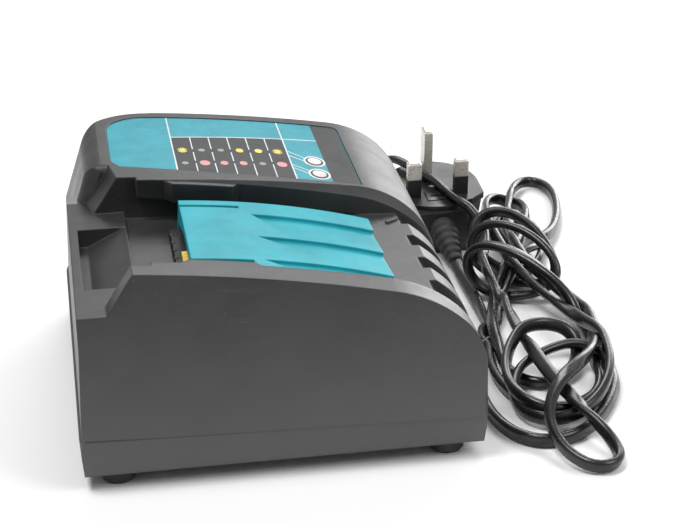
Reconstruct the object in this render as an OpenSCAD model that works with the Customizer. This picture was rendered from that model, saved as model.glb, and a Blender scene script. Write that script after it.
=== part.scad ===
// Slide-in battery charger with a sprung terminal cover, mains lead and three-pin plug.
// Millimetres. +X is the way a battery slides in, +Y is the label side, +Z is up.
// The origin is at floor level, under the middle of the case.

/* [Case] */
// Length of the case along the battery slide
case_l = 150; // [146:1:156]
// Width of the case, from the battery side to the label side
case_w = 190; // [184:1:200]
// Height of the crest of the top above the floor
case_h = 84; // [82:0.5:90]
// Gap that the feet leave under the case
floor_gap = 6; // [5:0.5:8]
// Height of the parting line at the rear end
part_rear_z = 22; // [19:0.5:24]
// Height of the parting line at the front end
part_front_z = 17.7; // [16:0.1:19]
// Thickness of the moulded walls
wall = 2.5; // [2:0.1:3]
// Radius of the nose of the bay side
bay_nose_r = 27.5; // [24:0.5:30]
// Radius of the nose of the label side
block_nose_r = 31.3; // [28:0.1:34]
// How far the rear end draws in below its knee
rear_draw = 2.2; // [1:0.1:3]
// Height of the knee in the rear end of the label side
rear_knee_z = 56; // [52:1:60]
// Lean of the rear end of the label side above its knee, in degrees
rear_lean = 18.5; // [14:0.5:22]
// Radius of the rounding at the top of the leaning rear end
rear_top_r = 9; // [7:0.5:10]
// Radius of the rear end's corner beside the bay
rear_near_r = 7; // [5:0.5:9]
// How far the long sides lean in at the crest
side_lean = 3.6; // [2:0.1:5]
// How far the long sides of the lower case draw in at the bottom
base_draw = 4; // [2:0.5:6]
// Plan radius of the rear corner on the label side
rear_corner_r = 28; // [20:1:32]
// Plan radius of the front corner on the label side
front_corner_r = 18; // [12:1:24]
// Plan radius of the two corners on the battery side
near_corner_r = 3; // [2:0.5:6]
// Height of the entry step at the rear end
step_z = 69.2; // [67:0.2:71]
// Length of the entry step
step_l = 13; // [10:0.5:16]
// Length of the slope from the step up to the crest
slope_l = 11; // [8:0.5:13]

/* [Battery bay] */
// Clear width between the walls of the bay
bay_w = 85.6; // [80:0.2:88]
// Distance of the bay's middle line from the middle of the case
bay_offset = 36.5; // [34:0.5:38]
// Height of the bay floor where it starts
floor_rear_z = 66.4; // [65:0.2:67]
// Slope of the bay floor in degrees
floor_slope = 2.8; // [2:0.1:3.4]
// Depth of the rail channels beside the bay
channel_d = 3.2; // [2.4:0.2:4]
// Thickness of the rail lips over the channels
lip_t = 7.3; // [6:0.1:8.5]
// How far the lips reach in over the bay at the latch
lip_reach = 3; // [1.5:0.5:4]
// Angle at which the rim rises from the bay to the label side, in degrees
rim_rise = 34; // [28:1:40]
// Number of fins on the nose
fin_count = 3; // [2:1:4]
// Width of one fin
fin_w = 12.4; // [10:0.2:14]
// Distance from one fin to the next
fin_pitch = 23.2; // [20:0.2:25]
// Depth of the grooves beside the fins
groove_d = 7; // [4:0.5:8]
// Width of the pocket for the battery latch
latch_w = 60; // [40:1:66]
// Depth of the pocket for the battery latch
latch_d = 7.4; // [5:0.2:8]

/* [Terminal cover] */
// Width of the sliding terminal cover
cover_w = 67; // [60:1:70]
// Radius of the curve of the cover's top
cover_r = 336; // [300:1:380]
// Thickness of the cover
cover_t = 2; // [1.6:0.1:2.4]
// How far the cover slides
cover_travel = 22; // [16:1:24]
// Depth of the shingle steps on the cover
shingle_d = 1.5; // [0.8:0.1:1.8]
// Running gap round the sliding cover's tongue
tongue_gap = 0.5; // [0.3:0.1:0.8]
// Wire of the cover's return spring
spring_wire = 1; // [0.8:0.1:1.2]
// Outside diameter of the return spring
spring_d = 8; // [7:0.5:9]

/* [Label and lamps] */
// Thickness of the label plate
label_t = 0.6; // [0.4:0.1:0.8]
// Depth of the recess that holds the label plate
label_recess = 1; // [0.9:0.1:1.2]
// Long diameter of a lamp lens
lens_l = 7.8; // [7:0.2:10]
// Short diameter of a lamp lens
lens_w = 5.6; // [5:0.2:6.6]
// Distance between the two lenses
lens_pitch = 15.5; // [14:0.5:20]
// How far the label's near edge swings away from the bay towards the rear
label_swing = 10; // [6:0.5:11]

/* [Fasteners and feet] */
// Diameter of a rubber foot
foot_d = 13; // [11:0.5:15]
// Diameter of the shank of a case screw
screw_d = 3.5; // [3:0.1:4]
// Length of a case screw
screw_l = 22; // [20:1:26]

/* [Plug] */
// Width of the plug body
plug_w = 44; // [42:1:48]
// Distance from the live pin to the neutral pin
pin_spacing = 22.2; // [22.2:0.1:22.4]
// Distance from the earth pin to the line of the other two
earth_spacing = 22.2; // [22.2:0.1:22.4]

/* [Mains lead] */
// Thickness of the mains lead
cord_d = 5; // [4.6:0.1:5.4]
// Height of the long loops of the folded lead
hank_loop_h = 16; // [14:1:20]
// Height of the folded lead at its waist, where turns are wrapped round it
hank_waist_h = 30; // [26:1:34]
// Diameter of the wide near end of the folded lead
hank_near_d = 56; // [52:1:60]
// Diameter of the far end of the folded lead
hank_far_d = 40; // [36:1:44]
// Length of the wrapped waist
hank_waist_l = 92; // [80:1:100]

/* [Hidden] */

housing_grey = [0.23, 0.235, 0.24];
accent_teal = [0.37, 0.76, 0.83];
lead_black = [0.1, 0.1, 0.105];
big = 400;
fine_fn = 360;

half_l = case_l / 2;
half_w = case_w / 2;
rear_x = -half_l;
front_x = half_l;
step_x = rear_x + step_l;
crest_x = step_x + slope_l;

// A crown is three arcs that meet smoothly, from the crest to the nose. Each step between arc centres
// has a whole-number slope, so that neighbouring arcs meet exactly.
bay_bend_step = [17, 17.85];
bay_crown_step = [136.8, 608];
block_bend_step = [8.8, 9.24];
block_crown_step = [127.6, 696];

// Centres and radii of the arcs. The crest sets the height.
function crown(nose, bend_step, crown_step) =
    let (r2 = nose + norm(bend_step),
         r1 = r2 + norm(crown_step),
         x3 = front_x - nose,
         c1 = [x3, 0] - bend_step - crown_step,
         crest = c1[1] + sqrt(r1 * r1 - pow(crest_x - c1[0], 2)),
         z3 = round((case_h - crest) * 100) / 100,
         c3 = [x3, z3],
         c2 = c3 - bend_step)
    [[c2 - crown_step, c2, c3], [r1, r2, nose]];
bay_crown = crown(bay_nose_r, bay_bend_step, bay_crown_step);
block_crown = crown(block_nose_r, block_bend_step, block_crown_step);
function top_z(c, x) = c[0][0][1] + sqrt(pow(c[1][0], 2) - pow(x - c[0][0][0], 2));
function crown_z(x) = top_z(bay_crown, x);
function block_z(x) = top_z(block_crown, x);

crown_fn = [2880, 1440, fine_fn];

// The sectors in which the three arcs of a crown hold, split along the lines through their centres.
function crown_sectors(c) =
    let (c2 = c[0][1], c3 = c[0][2], up = c2 - c[0][0], out = 20 * (c3 - c2))
    [[c2, c2 + up, [-big, c2[1] + up[1]], [-big, c2[1]]],
     [c2, c2 + out, c2 + up],
     [c3, [c3[0] + big, c3[1]], c3 + out]];

// The rear end of the label side.
knee_x = rear_x + rear_draw;
draw_angle = atan(rear_draw / rear_knee_z);
side_angle = atan(side_lean / (case_h + 4 - part_front_z));
round_z = case_h + 0.45 - rear_top_r;
corner_bite = 0.15;
round_x = knee_x + (rear_top_r - corner_bite) / cos(rear_lean)
          + (round_z - rear_knee_z) * tan(rear_lean);
rim_turn = 9.5;

// The bay.
bay_y = -bay_offset;
bay_near_y = bay_y - bay_w / 2;
bay_far_y = bay_y + bay_w / 2;
block_y = bay_far_y + channel_d + 2.5;
end_y = block_y + 11;
end_edge_r = 4;
bay_start_x = crest_x + 0.5;
bay_len = (front_x - bay_start_x) / cos(floor_slope);
lip_start_x = crest_x + 6;
plateau_end_x = front_x - 13.5;
groove_start_x = plateau_end_x - 2.5;
groove_foot_z = 34;
first_fin_y = bay_far_y - 11.6 - fin_w;
function floor_z(x) = floor_rear_z - (x - bay_start_x) * tan(floor_slope);

// The cover, in the case's own frame at rest.
cover_far_y = bay_far_y - 11.3;
cover_near_y = cover_far_y - cover_w;
cover_rear_x = rear_x + 45.3;
cover_front_x = front_x - 29.6;
cover_rear_z = 78;
cover_front_z = floor_z(cover_front_x) + cover_t + 0.5;
cover_mid = [(cover_rear_x + cover_front_x) / 2, (cover_rear_z + cover_front_z) / 2];
cover_half = norm([cover_front_x - cover_rear_x, cover_front_z - cover_rear_z]) / 2;
cover_fall = atan2(cover_rear_z - cover_front_z, cover_front_x - cover_rear_x);
cover_c = cover_mid - sqrt(cover_r * cover_r - cover_half * cover_half) * [sin(cover_fall), cos(cover_fall)];
cover_rear_a = asin((cover_rear_x - cover_c[0]) / cover_r);
cover_front_a = asin((cover_front_x - cover_c[0]) / cover_r);
cover_y = (cover_near_y + cover_far_y) / 2;
shingle_y = [cover_far_y - 13, cover_far_y - 36.5, cover_far_y - 60];
shingle_start_x = cover_rear_x + 27;
blade_y = [cover_far_y - 6, cover_near_y + 5];
blade_slot_w = 2.4;
blade_slot_l = cover_travel + 1;
tongue_w = 12;
tongue_t = 4;
tongue_x = cover_rear_x + 40;
tongue_drop = 9;

// The well in the bay floor for the terminals.
well_x0 = cover_rear_x - 4.5;
well_x1 = cover_rear_x + 24;
well_gap = 0.4;
well_y0 = cover_near_y + cover_t + 0.6;
well_y1 = cover_far_y - cover_t - 0.6;

// The label and the lamps.
label_y0 = block_y + 0.6;
label_y1 = half_w - 9;
label_x0 = crest_x - 3;
label_x1 = front_x - 29;
label_arc_x = front_x - 35;
label_arc_r = pow(label_arc_x - crest_x, 2) / (2 * label_swing);
label_r = rear_corner_r - 10;
lens_x = front_x - 45;
lens_y = block_y + 9.7;
lens_z = block_z(lens_x);
lamp_board_z = lens_z - 14;

// The main board and what stands on it.
board_t = 1.6;
board_x = half_l - 13;
board_y = half_w - 15;
board_z = floor_gap + wall + 6;
board_top = board_z + board_t;
board_post_x = board_x - 6;
board_post_y = board_y - 14;
screw_x = half_l - 27;
screw_y = half_w - 10;
boss_r = screw_d / 2 + 2.6;
boss_top = part_rear_z + 22;
foot_x = half_l - 13.5;
foot_y = half_w - 13.5;
foot_stem_d = 6;
gland_x = 20;
gland_z = 13.2;
gland_r = 5;
gland_neck_r = 3.8;
gland_flange_r = 4.6;
transformer_pos = [lens_x - 32, board_y - 36];
choke_pos = [board_x - 22, board_y - 34];
capacitor_pos = [-board_x + 22, board_y - 46];
fuse_l = 20;
fuse_pos = [board_post_x - 4 - fuse_l, board_y - 10];
heat_sink_l = 48;
heat_sink_x = [well_x1 + 14, board_x - 24];
heat_sink_y = -20;
output_pitch = 14;
output_pos = [board_post_x - 14, 14 - board_y];
blade_lead_x = well_x0 + well_gap + 10.4;
signal_lead_x = well_x0 + well_gap + 8;
signal_y = cover_far_y - 45;
signal_pitch = 3;

// The plug lies on its back with its face leaning towards the lead.
plug_pos = [97.5, 118.7, 25.2];
plug_turn = 2.3;
plug_lean = 8.7;
plug_near = 7.5;
plug_nose = 13.5;
plug_far = 31.8;
face_t = 2.6;
back_w = 27;
boot_l = 24;
boot_root_r = 6.4;
boot_tip_r = 2.7;
boot_z = 11.6;
boot_fall = 14;

// Points of the lead from the gland, over the plug's face, to the hank.
lead_points = [[20, 119, 13.2], [21, 130, 11], [25, 143, 6], [33, 155, 3.2], [44, 164, 2.8], [56, 168, 6],
               [66, 166, 15], [74, 160, 25], [80, 152.5, 31.5], [84, 146, 33.2], [89.5, 139, 31.6],
               [94.6, 131, 29.8], [99, 122.5, 28.4], [102.4, 113, 27], [107, 103.5, 25], [113, 95.5, 21],
               [117, 91, 18.7]];
// Points of the lead from the hank to the plug's boot.
tail_points = [[101.5, 2, 2.8], [99.6, 14, 2.7], [99.6, 28, 2.7], [99.9, 42, 2.7], [99.8, 56, 2.8],
               [99.4, 68, 3.6], [98.9, 76, 4.9], [98.6, 82, 6.2]];
hank_near = [110, -90];
hank_far = [148, 160];
hank_waist_start = 104;
lead_sides = 8;
lead_ring_gap = 10;

// ---------- shared shapes ----------

// Extrudes a shape drawn in x and z from y0 to y1.
module along_y(y0, y1) {
    translate([0, y1, 0])
        rotate([90, 0, 0])
            linear_extrude(y1 - y0)
                children();
}

// Extrudes a shape drawn in y and z from x0 to x1.
module along_x(x0, x1) {
    translate([x0, 0, 0])
        rotate([90, 0, 90])
            linear_extrude(x1 - x0)
                children();
}

// Places its children in a frame on the bay floor: x runs down the slope, z is square to it.
module on_bay_floor(x = bay_start_x) {
    translate([x, 0, floor_z(x)])
        rotate([0, floor_slope, 0])
            children();
}

module block_at(low, high) {
    translate(low)
        cube(high - low);
}

module corner_cut(x, y, sx, sy, r) {
    translate([x, y])
        scale([sx, sy])
            difference() {
                translate([-1, -1])
                    square(r + 1);
                translate([r, r])
                    circle(r, $fn = 96);
            }
}

// Plan outline of the case, drawn in by inset. The upper case rounds its leaning rear corner itself.
module plan_2d(inset = 0, rear_corner = true) {
    x = half_l - inset;
    y = half_w - inset;
    difference() {
        square([2 * x, 2 * y], center = true);
        if (rear_corner)
            corner_cut(-x, y, 1, -1, rear_corner_r - inset);
        corner_cut(x, y, -1, -1, front_corner_r - inset);
        corner_cut(-x, -y, 1, 1, max(near_corner_r - inset, 0.5));
        corner_cut(x, -y, -1, 1, max(near_corner_r - inset, 0.5));
    }
}

// Everything below a crown, drawn in by inset.
module below_crown_2d(c, inset = 0) {
    for (i = [0 : 2])
        intersection() {
            translate(c[0][i])
                circle(c[1][i] - inset, $fn = crown_fn[i]);
            polygon(crown_sectors(c)[i]);
        }
    translate([-big, 0])
        square([big + front_x - inset, c[0][2][1]]);
}

module bay_crown_2d(inset = 0) {
    below_crown_2d(bay_crown, inset);
}

module block_crown_2d(inset = 0) {
    below_crown_2d(block_crown, inset);
}

// Side view of the rear end above the parting line: the step and the slope on the bay side.
module bay_rear_2d(inset = 0) {
    polygon([[rear_x + inset, 0], [knee_x + inset, rear_knee_z], [knee_x + inset, step_z - inset],
             [step_x + inset, step_z - inset], [crest_x + inset + 4, case_h + 8], [front_x, case_h + 8],
             [front_x, 0]]);
}

// Side view of the rear end of the label side: it leans in above a knee and rounds into the crown.
module block_rear_2d(inset = 0) {
    reach = rear_top_r - corner_bite - inset;
    polygon([[rear_x + inset, 0], [knee_x + inset, rear_knee_z],
             [round_x - reach * cos(rear_lean), round_z + reach * sin(rear_lean)], [round_x, round_z],
             [round_x, case_h + 8], [front_x, case_h + 8], [front_x, 0]]);
    translate([round_x, round_z])
        circle(rear_top_r - inset, $fn = fine_fn);
}

// End view of the long sides, which lean in towards the top.
module lean_2d(inset = 0) {
    y = half_w - inset;
    polygon([[-y, 0], [-y, part_front_z], [-y + side_lean, case_h + 4], [y - side_lean, case_h + 4],
             [y, part_front_z], [y, 0]]);
}

// Everything above the sloping parting line.
module above_parting_2d(gap = 0) {
    polygon([[-big, part_z(-big) + gap], [big, part_z(big) + gap], [big, big], [-big, big]]);
}

function part_z(x) = part_rear_z + (part_front_z - part_rear_z) * (x + half_l) / case_l;

// ---------- upper case ----------

// What all of the housing keeps inside: its plan, its leaning sides and the parting line.
module within_case(inset = 0) {
    intersection() {
        linear_extrude(big)
            plan_2d(inset, false);
        along_x(-big, big)
            lean_2d(inset);
        along_y(-big, big)
            above_parting_2d();
        children();
    }
}

// Everything below the bay's crown as it rises from the bay's far wall towards the label side. It stands
// a little over the crown where it starts, which keeps it off the front face at a clear angle.
module below_rising_crown() {
    start = 2;
    depth = 40;
    proud = 0.3;
    for (i = [0 : 2])
        intersection() {
            translate([bay_crown[0][i][0], bay_far_y - start, bay_crown[0][i][1]])
                rotate([-90, 0, 0])
                    cylinder(r1 = bay_crown[1][i] + proud - start * tan(rim_rise),
                             r2 = bay_crown[1][i] + proud + (depth - start) * tan(rim_rise), h = depth,
                             $fn = crown_fn[i]);
            along_y(bay_far_y - 2 * start, bay_far_y + depth)
                polygon(crown_sectors(bay_crown)[i]);
        }
    along_y(bay_far_y - start, bay_far_y + depth - start)
        translate([-big, 0])
            square([big + front_x, bay_crown[0][2][1]]);
}

// The rim between the bay and the label side, with the far end of the entry step.
module far_rim() {
    foot_y = end_y + rear_near_r + 1;
    intersection() {
        below_rising_crown();
        along_y(bay_far_y, big)
            block_crown_2d();
        union() {
            along_y(bay_far_y, big)
                translate([-big, 0])
                    square([2 * big, step_z]);
            translate([step_x, bay_far_y, 0])
                rotate([0, 0, rim_turn])
                    rim_slope();
        }
        union() {
            along_y(bay_far_y, end_y)
                polygon([[rear_x, 0], [knee_x, rear_knee_z], [knee_x, big], [big, big], [big, 0]]);
            along_y(end_y, foot_y)
                block_rear_2d();
        }
        linear_extrude(big)
            polygon([[-big, 0], [big, 0], [big, end_y + end_edge_r], [crest_x, end_y + end_edge_r],
                     [crest_x, foot_y], [-big, foot_y]]);
    }
}

// The slope from the entry step up to the crest, from its foot line on. It turns a little on the rim.
module rim_slope() {
    rise = case_h + 8 - step_z;
    run = slope_l + 4;
    along_y(-20, 60)
        polygon([[-run, step_z - rise], [run, step_z + rise], [big, step_z + rise], [big, step_z - rise]]);
}

// The label side, with its leaning rear end.
module label_side(inset = 0) {
    front_y = end_y + max(inset, end_edge_r);
    difference() {
        intersection() {
            along_y(-big, big)
                intersection() {
                    block_crown_2d(inset);
                    block_rear_2d(inset);
                }
            linear_extrude(big)
                polygon([[-big, end_y + inset], [crest_x, end_y + inset], [crest_x, front_y], [big, front_y],
                         [big, big], [-big, big]]);
        }
        far_rear_corner(inset);
        near_rear_corner(inset);
        along_x(-big, crest_x)
            corner_cut(end_y + inset - corner_bite, case_h + 0.45 - inset, 1, -1, end_edge_r - inset / 2);
    }
}

// Takes the upright rear corner off the label side. It leans with the two walls that it joins.
module far_rear_corner(inset) {
    for (at = [[rear_x, 0, draw_angle], [knee_x, rear_knee_z, rear_lean]])
        translate([at[0], half_w - (at[1] - part_front_z) * tan(side_angle), at[1]])
            rotate([side_angle, at[2], 0])
                linear_extrude(big)
                    corner_cut(inset - corner_bite, corner_bite - inset, 1, -1, rear_corner_r - inset);
}

// Takes the corner off where the leaning rear end turns towards the bay, above the entry step.
module near_rear_corner(inset) {
    intersection() {
        translate([knee_x, end_y, rear_knee_z])
            rotate([0, rear_lean, 0])
                linear_extrude(big)
                    corner_cut(inset - corner_bite, inset - corner_bite, 1, 1, rear_near_r - inset);
        block_at([-big, -big, step_z - inset], [big, big, big]);
    }
}

module upper_solid() {
    within_case() {
        union() {
            along_y(-big, bay_far_y)
                intersection() {
                    bay_crown_2d();
                    bay_rear_2d();
                }
            far_rim();
            label_side();
        }
    }
}

// The open space of the bay over its floor.
module bay_space() {
    along_y(bay_near_y, bay_far_y)
        polygon([[-big, step_z], [bay_start_x, step_z], [bay_start_x, floor_z(bay_start_x)],
                 [big, floor_z(big)], [big, big], [-big, big]]);
}

// Channels for the battery's rails, under the lips and open at the rear.
module rail_channels() {
    channel_end_x = front_x - 31;
    along_y(bay_near_y - channel_d, bay_far_y + channel_d)
        polygon([[-big, step_z], [bay_start_x, step_z], [bay_start_x, floor_z(bay_start_x)],
                 [channel_end_x, floor_z(channel_end_x)],
                 [lip_start_x, crown_z(lip_start_x) - lip_t], [lip_start_x, big], [-big, big]]);
}

// The lips reach further in beside the latch, with a small stop at their rear end.
module lip_latch_blocks() {
    for (side = [-1, 1])
        translate([0, bay_y + side * bay_w / 2, 0])
            scale([1, side, 1])
                intersection() {
                    along_y(-lip_reach, 1)
                        intersection() {
                            bay_crown_2d();
                            difference() {
                                translate([lip_start_x, 0])
                                    square(big);
                                polygon([[0, 0], [big, 0], [channel_far_x, floor_z(channel_far_x)],
                                         [lip_start_x, crown_z(lip_start_x) - lip_t], [-big, 0]]);
                            }
                        }
                    linear_extrude(big)
                        polygon([[lip_start_x + 10, 1], [lip_start_x + 14, -lip_reach],
                                 [lip_start_x + 38, -lip_reach], [lip_start_x + 40, 1]]);
                }
}
channel_far_x = front_x - 31;

// Grooves that leave the fins standing on the nose.
module nose_grooves() {
    edges = concat([bay_far_y],
                   [for (i = [0 : fin_count - 1]) each [first_fin_y + fin_w - i * fin_pitch,
                                                        first_fin_y - i * fin_pitch]],
                   [bay_near_y]);
    for (i = [0 : fin_count])
        let (y1 = edges[2 * i], y0 = edges[2 * i + 1])
            if (y1 - y0 > 2)
                along_y(y0, y1)
                    difference() {
                        groove_side_2d();
                        bay_crown_2d(groove_d);
                    }
}

// Side view of a groove's start, which slants down from the bay floor.
module groove_side_2d() {
    start_z = floor_z(groove_start_x);
    polygon([[groove_start_x - 1, big], [groove_start_x - 1, start_z + 0.6],
             [groove_start_x + 3.5, start_z - groove_d], [groove_start_x + 3.5, groove_foot_z],
             [big, groove_foot_z], [big, big]]);
}

// A thin curb on the bay floor that curves round to the far wall in front of the cover's path.
module floor_curb() {
    curb_r = 28;
    intersection() {
        on_bay_floor(front_x - 37.5)
            translate([0, bay_far_y + 12.8, -1])
                rotate([0, 0, -57])
                    rotate_extrude(angle = 32, $fn = fine_fn)
                        translate([curb_r - 0.7, 0])
                            square([1.4, 1.9]);
        along_y(bay_near_y, bay_far_y)
            bay_crown_2d(1);
    }
}

// The pocket that the battery's latch drops into.
module latch_pocket() {
    end_x = rear_x + 5.6;
    along_y(bay_y - latch_w / 2, bay_y + latch_w / 2)
        polygon([[end_x, step_z - latch_d], [end_x + 3.5, step_z - latch_d], [bay_start_x, step_z],
                 [bay_start_x, big], [end_x, big]]);
}

// The wall that lines the bay, the channels, the pocket and the grooves inside the case.
module bay_lining() {
    end_x = rear_x + 5.6;
    along_y(bay_near_y - channel_d - wall, block_y)
        polygon([[-big, step_z - wall], [end_x - wall, step_z - wall], [end_x - wall, step_z - latch_d - wall],
                 [end_x + 4, step_z - latch_d - wall], [bay_start_x, step_z - wall - 3.4],
                 [bay_start_x + 4, floor_z(bay_start_x) - wall], [big, floor_z(big) - wall],
                 [big, big], [-big, big]]);
    along_y(bay_near_y - wall, bay_far_y + wall)
        difference() {
            translate([groove_start_x - wall, groove_foot_z - wall])
                square([big, big]);
            bay_crown_2d(groove_d + wall);
        }
}

// The hollow under the roof: it is as high as the bay's crown allows up to the label side.
module hollow_form() {
    within_case(wall) {
        union() {
            along_y(-big, end_y + 1 - wall)
                intersection() {
                    bay_crown_2d(wall);
                    bay_rear_2d(wall);
                }
            along_y(end_y - wall, end_y + end_edge_r + 1)
                intersection() {
                    bay_crown_2d(wall);
                    bay_rear_2d(wall);
                    translate([step_x + 2 * wall, 0])
                        square(big);
                }
            label_side(wall);
        }
    }
}

module upper_cavity() {
    difference() {
        hollow_form();
        bay_lining();
        screw_bosses();
        lamp_board_posts();
        spring_stop();
    }
}

module screw_bosses() {
    for (sx = [-1, 1], sy = [-1, 1]) {
        translate([sx * screw_x, sy * screw_y, 0])
            cylinder(r = boss_r, h = boss_top);
        block_at([sx * screw_x - 1, min(sy * screw_y, sy * half_w), 0],
                 [sx * screw_x + 1, max(sy * screw_y, sy * half_w), boss_top]);
    }
}

module screw_pilots() {
    for (sx = [-1, 1], sy = [-1, 1])
        translate([sx * screw_x, sy * screw_y, 0])
            cylinder(d = screw_d - 0.6, h = floor_gap + 6 + screw_l, $fn = 48);
}

// Two posts hang from the roof and carry the lamp board.
module lamp_board_posts() {
    for (dy = [-13, 13])
        translate([lens_x - 9, lens_y + lens_pitch / 2 + dy, lamp_board_z + board_t])
            cylinder(d = 5, h = big, $fn = 48);
}

// A rib under the bay floor that holds the fixed end of the return spring.
module spring_stop() {
    on_bay_floor()
        block_at([spring_x1, cover_y - 8, -spring_axis_drop - 6],
                 [spring_x1 + wall, cover_y + 8, 0]);
}

module tongue_slot() {
    on_bay_floor()
        block_at([tongue_local_x - tongue_gap, cover_y - tongue_w / 2 - tongue_gap, -20],
                 [tongue_local_x + tongue_t + cover_travel + tongue_gap,
                  cover_y + tongue_w / 2 + tongue_gap, 5]);
}
tongue_local_x = (tongue_x - bay_start_x) / cos(floor_slope);
spring_axis_drop = wall + 1.5 + spring_d / 2;
spring_x0 = tongue_local_x + tongue_t;
spring_x1 = spring_x0 + cover_travel + 13;

module terminal_well() {
    block_at([well_x0, well_y0, step_z - 20], [well_x1, well_y1, big]);
}

// Plan of the label: its near edge is a wide arc that swings away from the bay towards the rear.
module label_area_2d(inset = 0) {
    x0 = label_x0 + inset;
    x1 = label_x1 - inset;
    y1 = label_y1 - inset;
    difference() {
        intersection() {
            translate([x0, bay_far_y])
                square([x1 - x0, y1 - bay_far_y]);
            translate([label_arc_x, label_y0 + label_arc_r])
                circle(label_arc_r - inset, $fn = 1440);
        }
        corner_cut(x0, y1, 1, -1, label_r - inset);
        corner_cut(x1, y1, -1, -1, 3);
        polygon([[-big, 0], [crest_x + 0.6 + inset, 0], [crest_x + 0.6 + inset, end_y - 1],
                 [x0, end_y + 6 + inset], [-big, end_y + 6 + inset]]);
    }
}

// A curved plate under the label side's crown, between two depths.
module label_layer(top, bottom, inset = 0) {
    intersection() {
        along_y(bay_far_y, half_w)
            difference() {
                block_crown_2d(top);
                block_crown_2d(bottom);
            }
        linear_extrude(big)
            label_area_2d(inset);
    }
}

module lens_at() {
    for (i = [0, 1])
        translate([lens_x, lens_y + i * lens_pitch, 0])
            children();
}

module lens_2d(grow = 0) {
    scale([1, lens_l / lens_w])
        circle(d = lens_w + grow, $fn = 64);
}

module upper_case() {
    color(housing_grey)
        difference() {
            union() {
                difference() {
                    upper_solid();
                    bay_space();
                    rail_channels();
                }
                lip_latch_blocks();
                floor_curb();
            }
            upper_cavity();
            nose_grooves();
            latch_pocket();
            terminal_well();
            tongue_slot();
            screw_pilots();
            label_layer(-5, label_recess);
            lens_at()
                translate([0, 0, lamp_board_z + 2])
                    cylinder(d = lens_w + 0.2, h = 40, $fn = 64);
        }
}

// ---------- lower case ----------

// Side and end views of the lower case. A hollow's views reach over the parting line by rise.
module lower_outline_x(inset = 0, rise = 0) {
    polygon([[rear_x + inset, part_rear_z + rise], [front_x - inset, part_front_z + rise],
             [front_x - inset, part_front_z], [front_x - 1 - inset, floor_gap + inset],
             [rear_x + 1 + inset, floor_gap + inset], [rear_x + inset, part_rear_z]]);
}

module lower_outline_y(inset = 0, rise = 0) {
    y = half_w - inset;
    top = part_rear_z + 3 + rise;
    polygon([[-y, top], [-y, part_rear_z], [-y + base_draw, floor_gap + inset],
             [y - base_draw, floor_gap + inset], [y, part_rear_z], [y, top]]);
}

module lower_solid(inset = 0, rise = 0) {
    intersection() {
        linear_extrude(big)
            plan_2d(inset);
        along_x(-big, big)
            lower_outline_y(inset, rise);
        along_y(-big, big)
            lower_outline_x(inset, rise);
    }
}

module board_posts() {
    for (sx = [-1, 1], sy = [-1, 1])
        translate([sx * board_post_x, sy * board_post_y, floor_gap])
            cylinder(d = 7, h = board_z - floor_gap, $fn = 48);
}

module vent_slots() {
    for (i = [-4 : 4])
        translate([i * 7, 0, floor_gap - 1])
            linear_extrude(wall + 2) {
                square([3, 34], center = true);
                translate([0, 17])
                    circle(d = 3, $fn = 32);
                translate([0, -17])
                    circle(d = 3, $fn = 32);
            }
}

module lower_case() {
    color(housing_grey)
        difference() {
            union() {
                difference() {
                    lower_solid();
                    lower_solid(wall, 10);
                }
                intersection() {
                    lower_solid();
                    union() {
                        for (sx = [-1, 1], sy = [-1, 1])
                            translate([sx * screw_x, sy * screw_y, 0])
                                cylinder(r = boss_r, h = big);
                        board_posts();
                    }
                }
            }
            for (sx = [-1, 1], sy = [-1, 1]) {
                translate([sx * screw_x, sy * screw_y, -1]) {
                    cylinder(d = screw_d + 0.6, h = big, $fn = 48);
                    cylinder(d = screw_d * 2 + 1, h = floor_gap + 4 + 1, $fn = 48);
                }
                translate([sx * foot_x, sy * foot_y, floor_gap - 1]) {
                    cylinder(d = foot_d + 0.4, h = 1.8, $fn = 96);
                    cylinder(d = foot_stem_d, h = 20, $fn = 48);
                }
                translate([sx * board_post_x, sy * board_post_y, floor_gap + 2])
                    cylinder(d = 2.4, h = 20, $fn = 48);
            }
            vent_slots();
            translate([gland_x, half_w - wall * 3, gland_z])
                rotate([-90, 0, 0])
                    cylinder(r = gland_neck_r, h = 40, $fn = 64);
        }
}

// ---------- label, lamps and cover ----------

module label_panel() {
    color(accent_teal)
        difference() {
            label_layer(label_recess - label_t, label_recess, 0.2);
            lens_at()
                linear_extrude(big)
                    lens_2d(0.3);
        }
}

module lamp_lenses() {
    color([0.93, 0.87, 0.86])
        lens_at() {
            intersection() {
                along_y(-big, big)
                    translate([-lens_x, 0])
                        difference() {
                            block_crown_2d(label_recess - label_t - 0.3);
                            block_crown_2d(label_recess);
                        }
                linear_extrude(big)
                    lens_2d();
            }
            translate([0, 0, lamp_board_z + 5])
                cylinder(d = lens_w - 0.8, h = lens_z - label_recess - lamp_board_z - 5, $fn = 64);
        }
}

// A ring segment about the cover's centre of curvature, from a shape drawn in radius and y.
module cover_arc(a0, a1) {
    translate([cover_c[0], 0, cover_c[1]])
        rotate([-90, 0, 0])
            rotate([0, 0, a0 - 90])
                rotate_extrude(angle = a1 - a0, $fn = fine_fn * 12)
                    children();
}

module shingle_cuts() {
    next_y = [shingle_y[1], shingle_y[2], cover_near_y - 8];
    for (i = [0 : 2])
        difference() {
            cover_arc(cover_rear_a - 1, cover_front_a + 1)
                polygon([[cover_r + 1, shingle_y[i]], [cover_r - shingle_d, shingle_y[i]],
                         [cover_r, next_y[i]], [cover_r + 1, next_y[i]]]);
            translate([shingle_start_x, shingle_y[i], 0])
                rotate([0, 0, i == 0 ? 30 : 50])
                    translate([-big, -big, 0])
                        cube([big, 2 * big, 200]);
        }
}

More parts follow.
